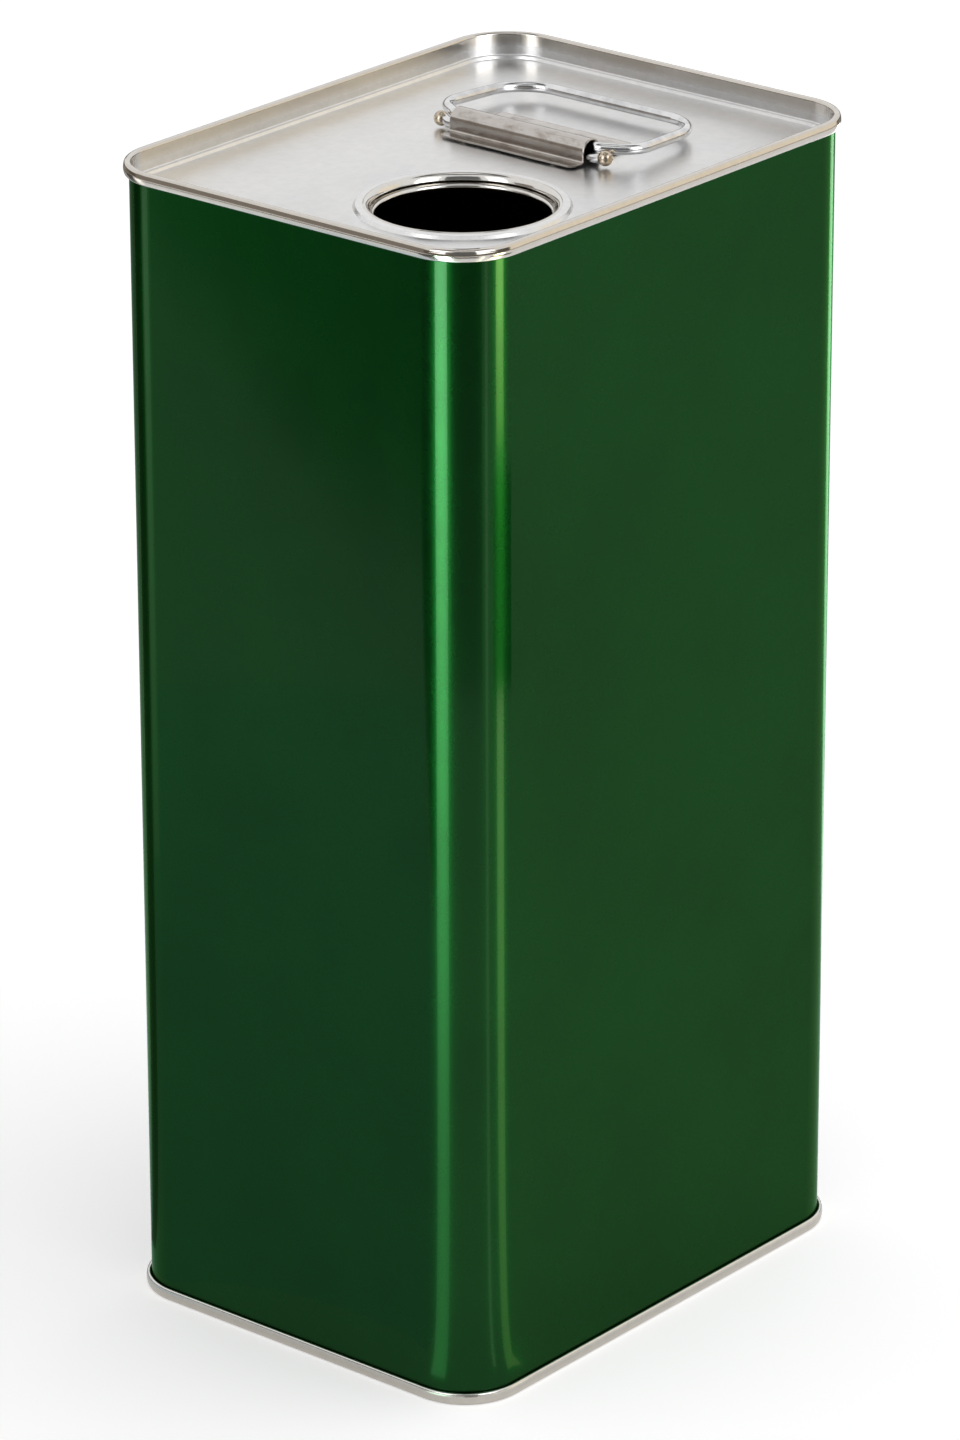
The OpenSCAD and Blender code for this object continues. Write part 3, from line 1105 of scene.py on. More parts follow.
@dataclass
class RimmedEnd:
    """A pressed end of the tin: cover hook, rim, recess wall, ledge and panel."""

    outline: Outline
    end: End
    depth: float
    sheet: float = 0.35 * MM
    seam: float = 3.2 * MM
    reach: float = 1.42 * MM
    inset: float = -0.79 * MM
    rim_round: float = 0.75 * MM
    seam_bulge: float = 0.14 * MM
    seam_fold: float = 0.56 * MM
    hook_in: float = 0.14 * MM
    hook_top: float = 1.3 * MM
    fold: float = 0.40 * MM
    ledge: float = 1.4 * MM
    drop: float = 0.7 * MM
    step_run: float = 0.35 * MM
    border: float = 4.0 * MM
    press_round: float = 0.16 * MM
    bulge_parts: int = 8

    @property
    def edge_height(self) -> float:
        """Height of the rim's outer edge."""
        return self.outline.height if self.end is End.TOP else 0.0

    @property
    def panel_height(self) -> float:
        """Height of the panel's outer face."""
        return self.edge_height - self.end.value * self.depth

    def draw_pressing(self) -> Object:
        """Draw the end's outer face from the cover hook to the panel's border and carry it round.

        Returns:
            The pressing in edit mode.
        """
        start = self.outline.seam_start + self.edge_height * UP
        low, fold, rim = -self.seam + self.seam_fold, self.seam_fold, self.rim_round
        shelf, panel_edge, foot = self.drop - self.depth, self.inset - self.ledge, self.fold
        pen = Pen("pressing", start, (self.hook_in, -self.hook_top), self.end.value)
        pen.line(self.hook_in, low)
        pen.bend(self.hook_in + fold, low, 90)
        face = self.reach - self.seam_bulge
        pen.line(face - fold, -self.seam)
        pen.bend(face - fold, low, 90)
        for step in range(1, self.bulge_parts + 1):
            share = step / self.bulge_parts
            bulge = self.seam_bulge * 4 * share * (1 - share)
            pen.line(face + bulge, low - (low + rim) * share)
        pen.bend(face - rim, -rim, 90, 7)
        pen.line(self.inset + rim, 0)
        pen.bend(self.inset + rim, -rim, 90, 7)
        pen.line(self.inset, shelf + foot, 3)
        pen.bend(self.inset - foot, shelf + foot, -90)
        pen.line(panel_edge + self.step_run, shelf)
        pen.line(panel_edge, -self.depth)
        pen.line(panel_edge - self.border, -self.depth, 2)
        pen.select_line()
        self.outline.sweep()
        close_seams()
        return pen.piece

    def face_out(self, piece: Object) -> None:
        """Turn the sheet's faces so that the panel's border faces out of the tin."""
        border_y = self.outline.half_y + self.inset - self.ledge - 1 * MM
        face_towards(piece, Vector((0, border_y, self.panel_height)), self.end.value * UP)

    def finish(self, piece: Object, outside: Material, inside: Material) -> None:
        """Round the pressed edges, give the sheet its thickness and dress it.

        Args:
            piece: The pressing in object mode.
            outside: The finish of the outer face.
            inside: The finish of the inner face.
        """
        dress(piece, (outside, inside))
        round_edges(piece, self.press_round, 26)
        give_wall(piece, self.sheet, 1)
        shade(piece, 50)


@dataclass
class BottomEnd(RimmedEnd):
    """The base of the tin, with a plain recessed panel."""

    panel_loops: tuple[Pair, ...] = ((0.88, 0.85), (0.6, 0.55))

    def build(self, outside: Material, inside: Material) -> Object:
        """Build and dress the base.

        Args:
            outside: The finish of the outer face.
            inside: The finish of the inner face.

        Returns:
            The finished piece.
        """
        piece = self.draw_pressing()
        border = self.outline.half_y + self.inset - self.ledge - self.border
        inner = border + 0.5 * MM
        limit_x = self.outline.half_x - self.outline.half_y + inner

        def on_border(first: Vector, second: Vector) -> bool:
            """Tell whether an edge is on the panel's open border."""
            return all(
                abs(point.z - self.panel_height) < LEVEL
                and abs(point.x) < limit_x and abs(point.y) < inner
                for point in (first, second)
            )

        pick_edges(piece, on_border)
        middle = (0, 0, self.panel_height)
        for loop in self.panel_loops:
            bpy.ops.mesh.extrude_region_move()
            bpy.ops.transform.resize(value=(*loop, 1), center_override=middle)
        bpy.ops.mesh.edge_face_add()
        close_seams()
        self.face_out(piece)
        leave_edit()
        self.finish(piece, outside, inside)
        enter(piece, "base_pressing", Body.TIN, Slot.TINPLATE, "bottom_end")
        return piece


@dataclass
class TopEnd(RimmedEnd):
    """The lid of the tin, with its raised ring, its lip and the curled neck."""

    neck_x: float = -31.5 * MM
    neck_y: float = -19.0 * MM
    ring_out: float = 26.8 * MM
    ring_top: float = 26.2 * MM
    ring_rise: float = 0.9 * MM
    lip_out: float = 24.35 * MM
    lip_foot: float = 0.3 * MM
    lip_step: float = 0.05 * MM
    lip_middle: float = 24.1 * MM
    lip_sink: float = 1.45 * MM
    lip_radii: Pair = (1.6 * MM, 2.55 * MM)
    lip_arc: Pair = (88, 74)
    curl_middle: float = 22.2 * MM
    curl_sink: float = 2.3 * MM
    curl_radii: Pair = (0.35 * MM, 0.65 * MM)
    curl_arc: Pair = (0, -265)
    curl_clear: float = 0.75 * MM
    apron: float = 2.4 * MM
    panel_inset: float = 6 * MM
    panel_rings: int = 10

    @property
    def neck(self) -> Vector:
        """The middle of the neck on the panel."""
        return Vector((self.neck_x, self.neck_y, self.panel_height))

    def draw_neck(self) -> Object:
        """Draw the neck's top face from the panel in to its curl and spin it round.

        Returns:
            The neck in object mode.
        """
        pen = Pen("neck", self.neck, (self.ring_out + self.apron, 0))
        pen.line(self.ring_out, 0, 2)
        pen.line(self.ring_top, self.ring_rise)
        pen.line(self.lip_out + self.lip_foot, self.ring_rise, 2)
        pen.line(self.lip_out, self.ring_rise + self.lip_step)
        pen.curve(self.lip_middle, -self.lip_sink, self.lip_radii, *self.lip_arc)
        pen.curve(self.curl_middle, -self.curl_sink, self.curl_radii, *self.curl_arc)
        pen.select_line()
        bpy.ops.mesh.spin(
            steps=self.outline.points_round, angle=2 * math.pi, center=self.neck, axis=(0, 0, 1)
        )
        close_seams()
        leave_edit()
        return pen.piece

    def bare_curl(self, piece: Object) -> None:
        """Leave the curl at the neck's foot without lacquer.

        Args:
            piece: The finished lid in object mode.
        """
        reach = self.curl_middle + self.curl_clear
        start_edit(piece)
        pick_faces(piece, lambda middle, _: (middle - self.neck).xy.length < reach)
        piece.active_material_index = 0
        bpy.ops.object.material_slot_assign()
        leave_edit()

    def build(self, outside: Material, inside: Material) -> Object:
        """Build and dress the lid.

        Args:
            outside: The finish of the outer face.
            inside: The finish of the inner face.

        Returns:
            The finished piece.
        """
        pressing = self.draw_pressing()
        leave_edit()
        piece = join((pressing, self.draw_neck()))
        start_edit(piece)
        hole = self.ring_out + self.apron
        inner_x = self.outline.half_x - self.panel_inset
        inner_y = self.outline.half_y - self.panel_inset

        def beside_panel(first: Vector, second: Vector) -> bool:
            """Tell whether an open edge borders the gap in the panel."""
            return all(
                abs(point.z - self.panel_height) < LEVEL
                and abs(point.x) < inner_x and abs(point.y) < inner_y
                and (point - self.neck).length > hole - 0.05 * MM
                for point in (first, second)
            )

        pick_edges(piece, beside_panel)
        bpy.ops.mesh.bridge_edge_loops(number_cuts=self.panel_rings, interpolation="LINEAR")
        close_seams()
        self.face_out(piece)
        leave_edit()
        self.finish(piece, outside, inside)
        self.bare_curl(piece)
        enter(piece, "lid_pressing", Body.TIN, Slot.TINPLATE, "top_end")
        return piece


@dataclass
class HandleBracket:
    """The strip that holds the bail: a tunnel between two flanges, spot welded to the lid."""

    lid: float
    hinge: Vector
    length: float = 43 * MM
    sheet: float = 0.40 * MM
    tunnel: float = 3.32 * MM
    front: float = 4.4 * MM
    rear: float = 14 * MM
    flange_top: float = 0.9 * MM
    foot: float = 0.5 * MM
    corner_cut: float = 1.2 * MM
    edge_round: float = 0.07 * MM
    stud_radius: float = 1.5 * MM
    stud_sink: float = 0.02 * MM
    stud_height: float = 0.55 * MM
    stud_waist: float = 0.88
    stud_head: float = 1.08
    stud_y: float = 14.33 * MM
    front_stud_x: float = -5.52 * MM
    rear_stud_x: float = 10.32 * MM
    electrode: Pair = (-0.13, 1.5)
    parts: int = 86

    @property
    def studs(self) -> tuple[Vector, ...]:
        """The middles of the weld studs, on the lid."""
        floor = Vector((self.hinge.x, 0, self.lid))
        return tuple(
            floor + Vector((x, y, 0))
            for x in (self.front_stud_x, self.rear_stud_x) for y in (-self.stud_y, self.stud_y)
        )

    def draw_strip(self) -> Object:
        """Draw the strip's upper face across the hinge line and carry it along.

        Returns:
            The strip in edit mode.
        """
        base = self.lid + self.flange_top - self.hinge.z
        start = Vector((self.hinge.x, -self.length / 2, self.hinge.z))
        side, foot = self.tunnel, self.foot
        pen = Pen("strip", start, (-side - self.front, base))
        pen.line(-side - foot, base, 10)
        pen.bend(-side - foot, base + foot, 90, 6)
        pen.line(-side, 0, 3)
        pen.bend(0, 0, -180, 28)
        pen.line(side, base + foot, 3)
        pen.bend(side + foot, base + foot, 90, 6)
        pen.line(side + self.rear, base, 30)
        pen.select_line()
        carry(Vector((0, self.length, 0)), self.parts)
        close_seams()
        face_towards(pen.piece, self.hinge + self.tunnel * UP, UP)
        return pen.piece

    def cut_corners(self) -> None:
        """Cut the four corners of the flanges at 45 degrees, with the strip in edit mode."""
        ends = (-self.tunnel - self.front, self.tunnel + self.rear)
        for sign_x, reach in ((-1, ends[0]), (1, ends[1])):
            for sign_y in (-1, 1):
                corner = Vector((self.hinge.x + reach, sign_y * self.length / 2, 0))
                cut = corner - Vector((sign_x * self.corner_cut, 0, 0))
                bpy.ops.mesh.select_all(action="SELECT")
                bpy.ops.mesh.bisect(plane_co=cut, plane_no=(sign_x, sign_y, 0), clear_outer=True)

    def dent(self, piece: Object, middle: Vector, push: Vector, size: float) -> None:
        """Push a soft dent or bump into the strip.

        Args:
            piece: The strip in edit mode.
            middle: The dent's middle.
            push: How far its middle moves.
            size: The radius that it fades over.
        """
        pick_points(piece, lambda place: (place - middle).length < 0.35 * MM)
        push_softly(push, size)

    def press_welds(self, piece: Object) -> None:
        """Press the electrode's marks and the metal it pushed up into the flanges.

        Args:
            piece: The strip in edit mode.
        """
        bpy.ops.mesh.select_mode(type="VERT")
        top = self.flange_top * UP
        rise, size = self.electrode
        for stud in self.studs:
            self.dent(piece, stud + top, rise * MM * UP, size * MM)
        splash = self.studs[-1] + top
        marks = (
            (Vector((-1.6, 1.5, 0)), 0.22, 1.2), (Vector((-2.7, -1.9, 0)), 0.20, 1.3),
            (Vector((1.2, -2.4, 0)), -0.16, 1.1), (Vector((-3.4, 3.0, 0)), -0.18, 1.4),
            (Vector((-4.3, 0.2, 0)), 0.12, 1.6), (Vector((0.6, 3.6, 0)), 0.16, 1.3),
        )
        for offset, rise, size in marks:
            self.dent(piece, splash + MM * offset, rise * MM * UP, size * MM)
        front_edge = Vector((self.hinge.x - self.tunnel - self.front, 0, self.lid)) + top
        nicks = ((-17, 0.10, 3.5), (-8.5, -0.08, 3), (2.5, 0.07, 4), (11.5, -0.09, 3))
        for along, depth, size in nicks:
            place = front_edge + Vector((0, along * MM, 0))
            self.dent(piece, place, Vector((depth * MM, 0, 0)), size * MM)

    def make_stud(self, middle: Vector) -> Object:
        """Make a domed weld stud under a flange.

        Args:
            middle: Its middle on the lid.

        Returns:
            The stud in object mode.
        """
        bpy.ops.object.select_all(action="DESELECT")
        bpy.ops.mesh.primitive_circle_add(
            vertices=28, radius=self.stud_radius, fill_type="NGON",
            location=middle + self.stud_sink * UP,
        )
        stud = bpy.context.object
        bpy.ops.object.transform_apply(location=True, rotation=False, scale=False)
        start_edit(stud)
        bpy.ops.mesh.select_all(action="SELECT")
        for share, width in ((0.4, self.stud_waist), (0.6, self.stud_head)):
            lift = (0, 0, share * self.stud_height)
            bpy.ops.mesh.extrude_region_move(TRANSFORM_OT_translate={"value": lift})
            bpy.ops.transform.resize(value=(width, width, 1), center_override=middle)
        close_seams()
        leave_edit()
        return stud

    def build(self, finish: Material) -> Object:
        """Build and dress the bracket.

        Args:
            finish: The strip's finish.

        Returns:
            The finished piece.
        """
        piece = self.draw_strip()
        self.cut_corners()
        self.press_welds(piece)
        leave_edit()
        give_wall(piece, self.sheet, 0)
        round_edges(piece, self.edge_round, 60)
        piece = join([piece, *(self.make_stud(stud) for stud in self.studs)])
        dress(piece, (finish,))
        shade(piece)
        enter(piece, "bail_bracket", Body.TIN, Slot.BRACKET, "handle_bracket")
        return piece


class WireBender:
    """Makes a wire as on a bending jig: a ring is fed along straights, spun round bends and wound."""

    def __init__(self, name: str, middle: Vector, radius: float, sides: int = 28) -> None:
        """Put down the wire's first ring, across Y.

        Args:
            name: The new object's name.
            middle: The ring's middle.
            radius: The ring's radius.
            sides: The number of points round the wire.
        """
        bpy.ops.object.select_all(action="DESELECT")
        bpy.ops.mesh.primitive_circle_add(
            vertices=sides, radius=radius, location=middle, rotation=(math.pi / 2, 0, 0)
        )
        self.piece = bpy.context.object
        self.piece.name = name
        bpy.ops.object.transform_apply(location=True, rotation=True, scale=False)
        self.tip, self.radius = middle.copy(), radius
        bpy.ops.object.mode_set(mode="EDIT")
        bpy.ops.mesh.select_mode(type="VERT")
        bpy.ops.mesh.select_all(action="SELECT")

    def feed(self, target: Vector, radius: float | None = None) -> None:
        """Feed the wire straight on.

        Args:
            target: The point it is fed to.
            radius: The radius it is drawn to on the way, if it changes.
        """
        bpy.ops.mesh.extrude_region_move(TRANSFORM_OT_translate={"value": target - self.tip})
        self.tip = target.copy()
        if radius is not None:
            share = radius / self.radius
            bpy.ops.transform.resize(value=(share, share, share), center_override=target)
            self.radius = radius

    def wind(self, axis: Vector, along: float, degrees: float, steps: int) -> None:
        """Wind the wire about a line along Y.

        Args:
            axis: A point of the line.
            along: The distance along Y.
            degrees: The angle, positive from X towards up.
            steps: The number of rings.
        """
        turn = math.radians(degrees) / steps
        for _ in range(steps):
            step = Vector((0, along / steps, 0))
            bpy.ops.mesh.extrude_region_move(TRANSFORM_OT_translate={"value": step})
            bpy.ops.transform.rotate(value=turn, orient_axis="Y", center_override=axis)
            about = Vector((axis.x, self.tip.y + step.y, axis.z))
            self.tip = about + Matrix.Rotation(-turn, 3, "Y") @ (self.tip + step - about)

    def corner(self, corner: Vector, onward: Vector, radius: float, steps: int) -> None:
        """Feed the wire up to a corner and bend it round towards the next point.

        Args:
            corner: The corner that the bend rounds off.
            onward: The point that the wire heads for after it.
            radius: The bend's radius, on the wire's middle.
            steps: The number of rings.
        """
        back = (self.tip - corner).normalized()
        ahead = (onward - corner).normalized()
        half = back.angle(ahead) / 2
        self.feed(corner + back * radius / math.tan(half))
        centre = corner + (back + ahead).normalized() * radius / math.sin(half)
        axis = ahead.cross(back).normalized()
        bpy.ops.mesh.spin(steps=steps, angle=2 * half - math.pi, center=centre, axis=axis)
        self.tip = corner + ahead * radius / math.tan(half)

    def cap(self, depth: float, width: float) -> None:
        """Close the open ring with a dished cut face.

        Args:
            depth: How far the cut's middle lies in along Y, with its sign.
            width: The width of the flat rim left round the dish.
        """
        bpy.ops.mesh.edge_face_add()
        bpy.ops.mesh.inset(thickness=width)
        bpy.ops.transform.translate(value=(0, depth, 0))


@dataclass
class WireBail:
    """The folding handle: one wire whose ends wind round each other in the tunnel and end swelled."""

    hinge: Vector
    wire: float = 1.4 * MM
    twist: float = 1.42 * MM
    tunnel_half: float = 21.5 * MM
    lead: float = 2.1 * MM
    shoulder: float = 23.1 * MM
    hip: float = 31.4 * MM
    hip_reach: float = 6.0 * MM
    reach: float = 34.6 * MM
    grip: float = 29.7 * MM
    shoulder_bend: float = 3.4 * MM
    hip_bend: float = 8.0 * MM
    grip_bend: float = 12.0 * MM
    bead: float = 1.95 * MM
    bead_offset: float = 0.615 * MM
    bead_y: float = 26.45 * MM
    bead_cut: float = 145.0
    cut_dish: float = 0.22 * MM
    cut_rim: float = 0.3 * MM
    twist_rings: int = 30
    bead_rings: int = 11

    @property
    def beads(self) -> tuple[Vector, ...]:
        """The middles of the two swelled ends."""
        x, y, z = -self.bead_offset, self.bead_y, -self.bead_offset
        return tuple(self.hinge + Vector((x, side * y, z)) for side in (-1, 1))

    def bead_ring(self, middle: Vector, side: int, degrees: float) -> tuple[Vector, float]:
        """Find one ring of a swelled end.

        Args:
            middle: The middle of the end.
            side: 1, or -1 for the end on the far side of Y.
            degrees: The ring's angle, from the wire's side.

        Returns:
            The ring's middle and radius.
        """
        angle = math.radians(degrees)
        along = Vector((0, -side * self.bead * math.cos(angle), 0))
        return middle + along, self.bead * math.sin(angle)

    def bead_angles(self) -> list[float]:
        """List the angles of a swelled end's rings.

        Returns:
            The angles in degrees, from the wire to the cut.
        """
        neck = math.degrees(math.asin(self.wire / self.bead))
        step = (self.bead_cut - neck) / self.bead_rings
        return [neck + step * ring for ring in range(self.bead_rings + 1)]

    def loop_corners(self, raised: Vector) -> list[tuple[Vector, float, int]]:
        """Return the corners of the bail's loop with the radius and rings of each bend.

        Args:
            raised: Where the wire leaves the tunnel, from the hinge line.

        Returns:
            The corners, from one side of the bail round to the other.
        """
        sink = raised.z * (self.reach - self.hip_reach) / (self.reach - raised.x)
        half_loop = (
            (Vector((raised.x, self.shoulder, raised.z)), self.shoulder_bend, 10),
            (Vector((self.hip_reach, self.hip, sink)), self.hip_bend, 14),
            (Vector((self.reach, self.grip, 0)), self.grip_bend, 20),
        )
        near = [(self.hinge + corner, radius, steps) for corner, radius, steps in half_loop]
        mirror = Vector((1, -1, 1))
        far = [(self.hinge + corner * mirror, radius, steps) for corner, radius, steps in half_loop]
        return near + far[::-1]

    def bend_wire(self) -> Object:
        """Bend the whole wire, from one swelled end to the other.

        Returns:
            The wire in object mode.
        """
        twisted = self.twist / math.sqrt(2)
        raised = Vector((twisted, 0, twisted))
        half = Vector((0, self.tunnel_half, 0))
        first, last = self.beads
        angles = self.bead_angles()
        middle, radius = self.bead_ring(first, -1, angles[-1])

        def on_cut_edge(place: Vector) -> bool:
            """Tell whether a point is on the outer ring of the first cut."""
            return abs(place.y - middle.y) < LEVEL / 2 and (place - middle).length > radius - LEVEL

        wire = WireBender("bail", middle, radius)
        wire.cap(self.cut_dish, self.cut_rim)
        pick_points(wire.piece, on_cut_edge)
        bpy.ops.mesh.select_mode(type="EDGE")
        for angle in reversed(angles[:-1]):
            wire.feed(*self.bead_ring(first, -1, angle))
        wire.feed(self.hinge - raised - half - Vector((0, self.lead, 0)))
        wire.feed(self.hinge - raised - half)
        wire.wind(self.hinge, 2 * self.tunnel_half, 180, self.twist_rings)
        corners = self.loop_corners(raised) + [(self.hinge + raised - half, 0.0, 0)]
        for (corner, radius, steps), (onward, _, _) in zip(corners, corners[1:]):
            wire.corner(corner, onward, radius, steps)
        wire.feed(self.hinge + raised - half)
        wire.wind(self.hinge, 2 * self.tunnel_half, 180, self.twist_rings)
        wire.feed(self.hinge - raised + half + Vector((0, self.lead, 0)))
        for angle in angles:
            wire.feed(*self.bead_ring(last, 1, angle))
        wire.cap(-self.cut_dish, self.cut_rim)
        close_seams()
        leave_edit()
        return wire.piece

    def build(self, finish: Material) -> Object:
        """Build and dress the bail.

        Args:
            finish: The wire's finish.

        Returns:
            The finished piece.
        """
        piece = self.bend_wire()
        dress(piece, (finish,))
        shade(piece, 38)
        enter(piece, "wire_bail", Body.BAIL, Slot.WIRE, "handle_bail")
        return piece


# The studio


def direction(bearing: float, elevation: float = 0.0) -> Vector:
    """Return the direction to a bearing, counted from X towards Y, in degrees."""
    turn, rise = math.radians(bearing), math.radians(elevation)
    return Vector((math.cos(turn) * math.cos(rise), math.sin(turn) * math.cos(rise), math.sin(rise)))


@dataclass(frozen=True)
class Viewpoint:
    """The camera, by where it stands and which way it looks back from, in degrees and metres."""

    stands: Pair = (219.814, 21.851)
    looks_from: Pair = (219.871, 21.947)
    roll: float = -0.122
    away: float = 1.8416
    lens: float = 180.49
    sensor: float = 36.0

    def build(self, centre: Vector) -> None:
        """Make the scene's camera.

        Args:
            centre: The middle of the object.
        """
        data = bpy.data.cameras.new("camera")
        data.lens = self.lens
        data.sensor_width = self.sensor
        camera = bpy.data.objects.new("camera", data)
        bpy.context.scene.collection.objects.link(camera)
        back = direction(*self.looks_from)
        level = UP.cross(back).normalized()
        right = Quaternion(back, math.radians(self.roll)) @ level
        turn = Matrix((right, back.cross(right), back)).transposed().to_4x4()
        place = centre + self.away * direction(*self.stands)
        camera.matrix_world = Matrix.Translation(place) @ turn
        bpy.context.scene.camera = camera


# The centres of the rings of floor cards: by three corners of the tin, and far off
FRONT_CORNER = (-0.0606, -0.0431)
LEFT_CORNER = (-0.0606, 0.0431)
BACK_CORNER = (0.0606, 0.0431)
FAR_POINT = (8.12, 5.385)


@dataclass(frozen=True)
class FloorCard:
    """A light or dark card on the floor that only gloss sees: part of a ring about the tin.

    Its bearing is counted from X towards Y. Its glow goes from the inner to the outer edge, and a
    swell over 1 keeps it low for longer.
    """

    name: str
    bearing: float
    spread: float
    near: float
    far: float
    glow: Pair
    tint: Colour = WHITE
    apex: Pair = (0.0, 0.0)
    height: float = 0.0015
    swell: float = 1.0

    def build(self) -> None:
        """Make the card."""
        apex = Vector((*self.apex, self.height))
        pen = Pen(self.name, apex, (self.near, 0))
        pen.line(self.far, 0)
        pen.select_line()
        start = math.radians(self.bearing - self.spread / 2)
        bpy.ops.transform.rotate(value=-start, orient_axis="Z", center_override=apex)
        bpy.ops.mesh.spin(
            steps=24, angle=-math.radians(self.spread), center=apex, axis=(0, 0, 1)
        )
        close_seams()
        face_towards(pen.piece, apex, UP)
        leave_edit()
        graph = Graph.for_material(self.name)
        reach = graph.distance(graph.place(), apex, flat=True)
        outward = graph.remap(reach, self.near, self.far, smooth=False)
        share = graph.math("POWER", outward, self.swell)
        glow = graph.remap(share, 0, 1, *self.glow, smooth=False)
        light_card(pen.piece, graph, glow, self.tint)


@dataclass(frozen=True)
class StandingCard:
    """A sheet of light or dark card that stands about the tin and that only gloss sees."""

    name: str
    bearing: float
    away: float
    low: float
    high: float
    width: float
    glow: float
    tint: Colour = WHITE

    def build(self) -> None:
        """Make the card."""
        bpy.ops.object.select_all(action="DESELECT")
        middle = direction(self.bearing) * self.away + UP * (self.low + self.high) / 2
        turn = math.radians(self.bearing) - math.pi / 2
        bpy.ops.mesh.primitive_plane_add(size=1, location=middle, rotation=(math.pi / 2, 0, turn))
        card = bpy.context.object
        card.scale = (self.width, self.high - self.low, 1)
        settle_card(card, self.name)
        light_card(card, Graph.for_material(self.name), self.glow, self.tint)


@dataclass(frozen=True)
class HorizonBand:
    """A low dark wall right round the stage that only gloss sees."""

    name: str
    away: float
    high: float
    glow: float
    tint: Colour

    def build(self) -> None:
        """Make the wall."""
        bpy.ops.object.select_all(action="DESELECT")
        bpy.ops.mesh.primitive_cylinder_add(
            vertices=96, radius=self.away, depth=self.high, end_fill_type="NOTHING",
            location=(0, 0, self.high / 2),
        )
        wall = bpy.context.object
        settle_card(wall, self.name)
        light_card(wall, Graph.for_material(self.name), self.glow, self.tint)


@dataclass(frozen=True)
class Overhead:
    """A square card straight above the tin that only gloss sees."""

    name: str
    height: float
    side: float
    glow: float

    def build(self) -> None:
        """Make the card."""
        bpy.ops.object.select_all(action="DESELECT")
        bpy.ops.mesh.primitive_plane_add(size=self.side, location=(0, 0, self.height))
        card = bpy.context.object
        settle_card(card, self.name)
        light_card(card, Graph.for_material(self.name), self.glow, WHITE)


def settle_card(card: Object, name: str) -> None:
    """Name a new card and put its place, turn and size in its mesh."""
    card.name = name
    bpy.ops.object.transform_apply(location=True, rotation=True, scale=True)


def light_card(card: Object, graph: Graph, glow: Socket | float, tint: Colour) -> None:
    """Make a card glow, mark it as part of the stage and let only glossy rays see it.

    Args:
        card: The card.
        graph: The graph of its new material.
        glow: How brightly it glows.
        tint: The colour of its light.
    """
    light = graph.node("Emission", {"Color": tint, "Strength": glow})
    graph.node("OutputMaterial", {0: light.outputs[0]})
    dress(card, (graph.material,))
    card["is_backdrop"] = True
    card.visible_camera = False
    card.visible_diffuse = False
    card.visible_transmission = False
    card.visible_volume_scatter = False
    card.visible_shadow = False


@dataclass(frozen=True)
class Softbox:
    """A soft square lamp that lights the floor and the tin from above."""

    name: str
    bearing: float
    elevation: float
    away: float
    side: float
    power: float

    def build(self, centre: Vector) -> None:
        """Make the lamp.

        Args:
            centre: The point that it is turned to.
        """
        data = bpy.data.lights.new(self.name, "AREA")
        data.shape = "SQUARE"
        data.size = self.side
        data.energy = self.power
        lamp = bpy.data.objects.new(self.name, data)
        bpy.context.scene.collection.objects.link(lamp)
        back = direction(self.bearing, self.elevation)
        turn = back.to_track_quat("Z", "Y").to_matrix().to_4x4()
        lamp.matrix_world = Matrix.Translation(centre + self.away * back) @ turn
        lamp.visible_camera = False
        lamp.visible_glossy = False


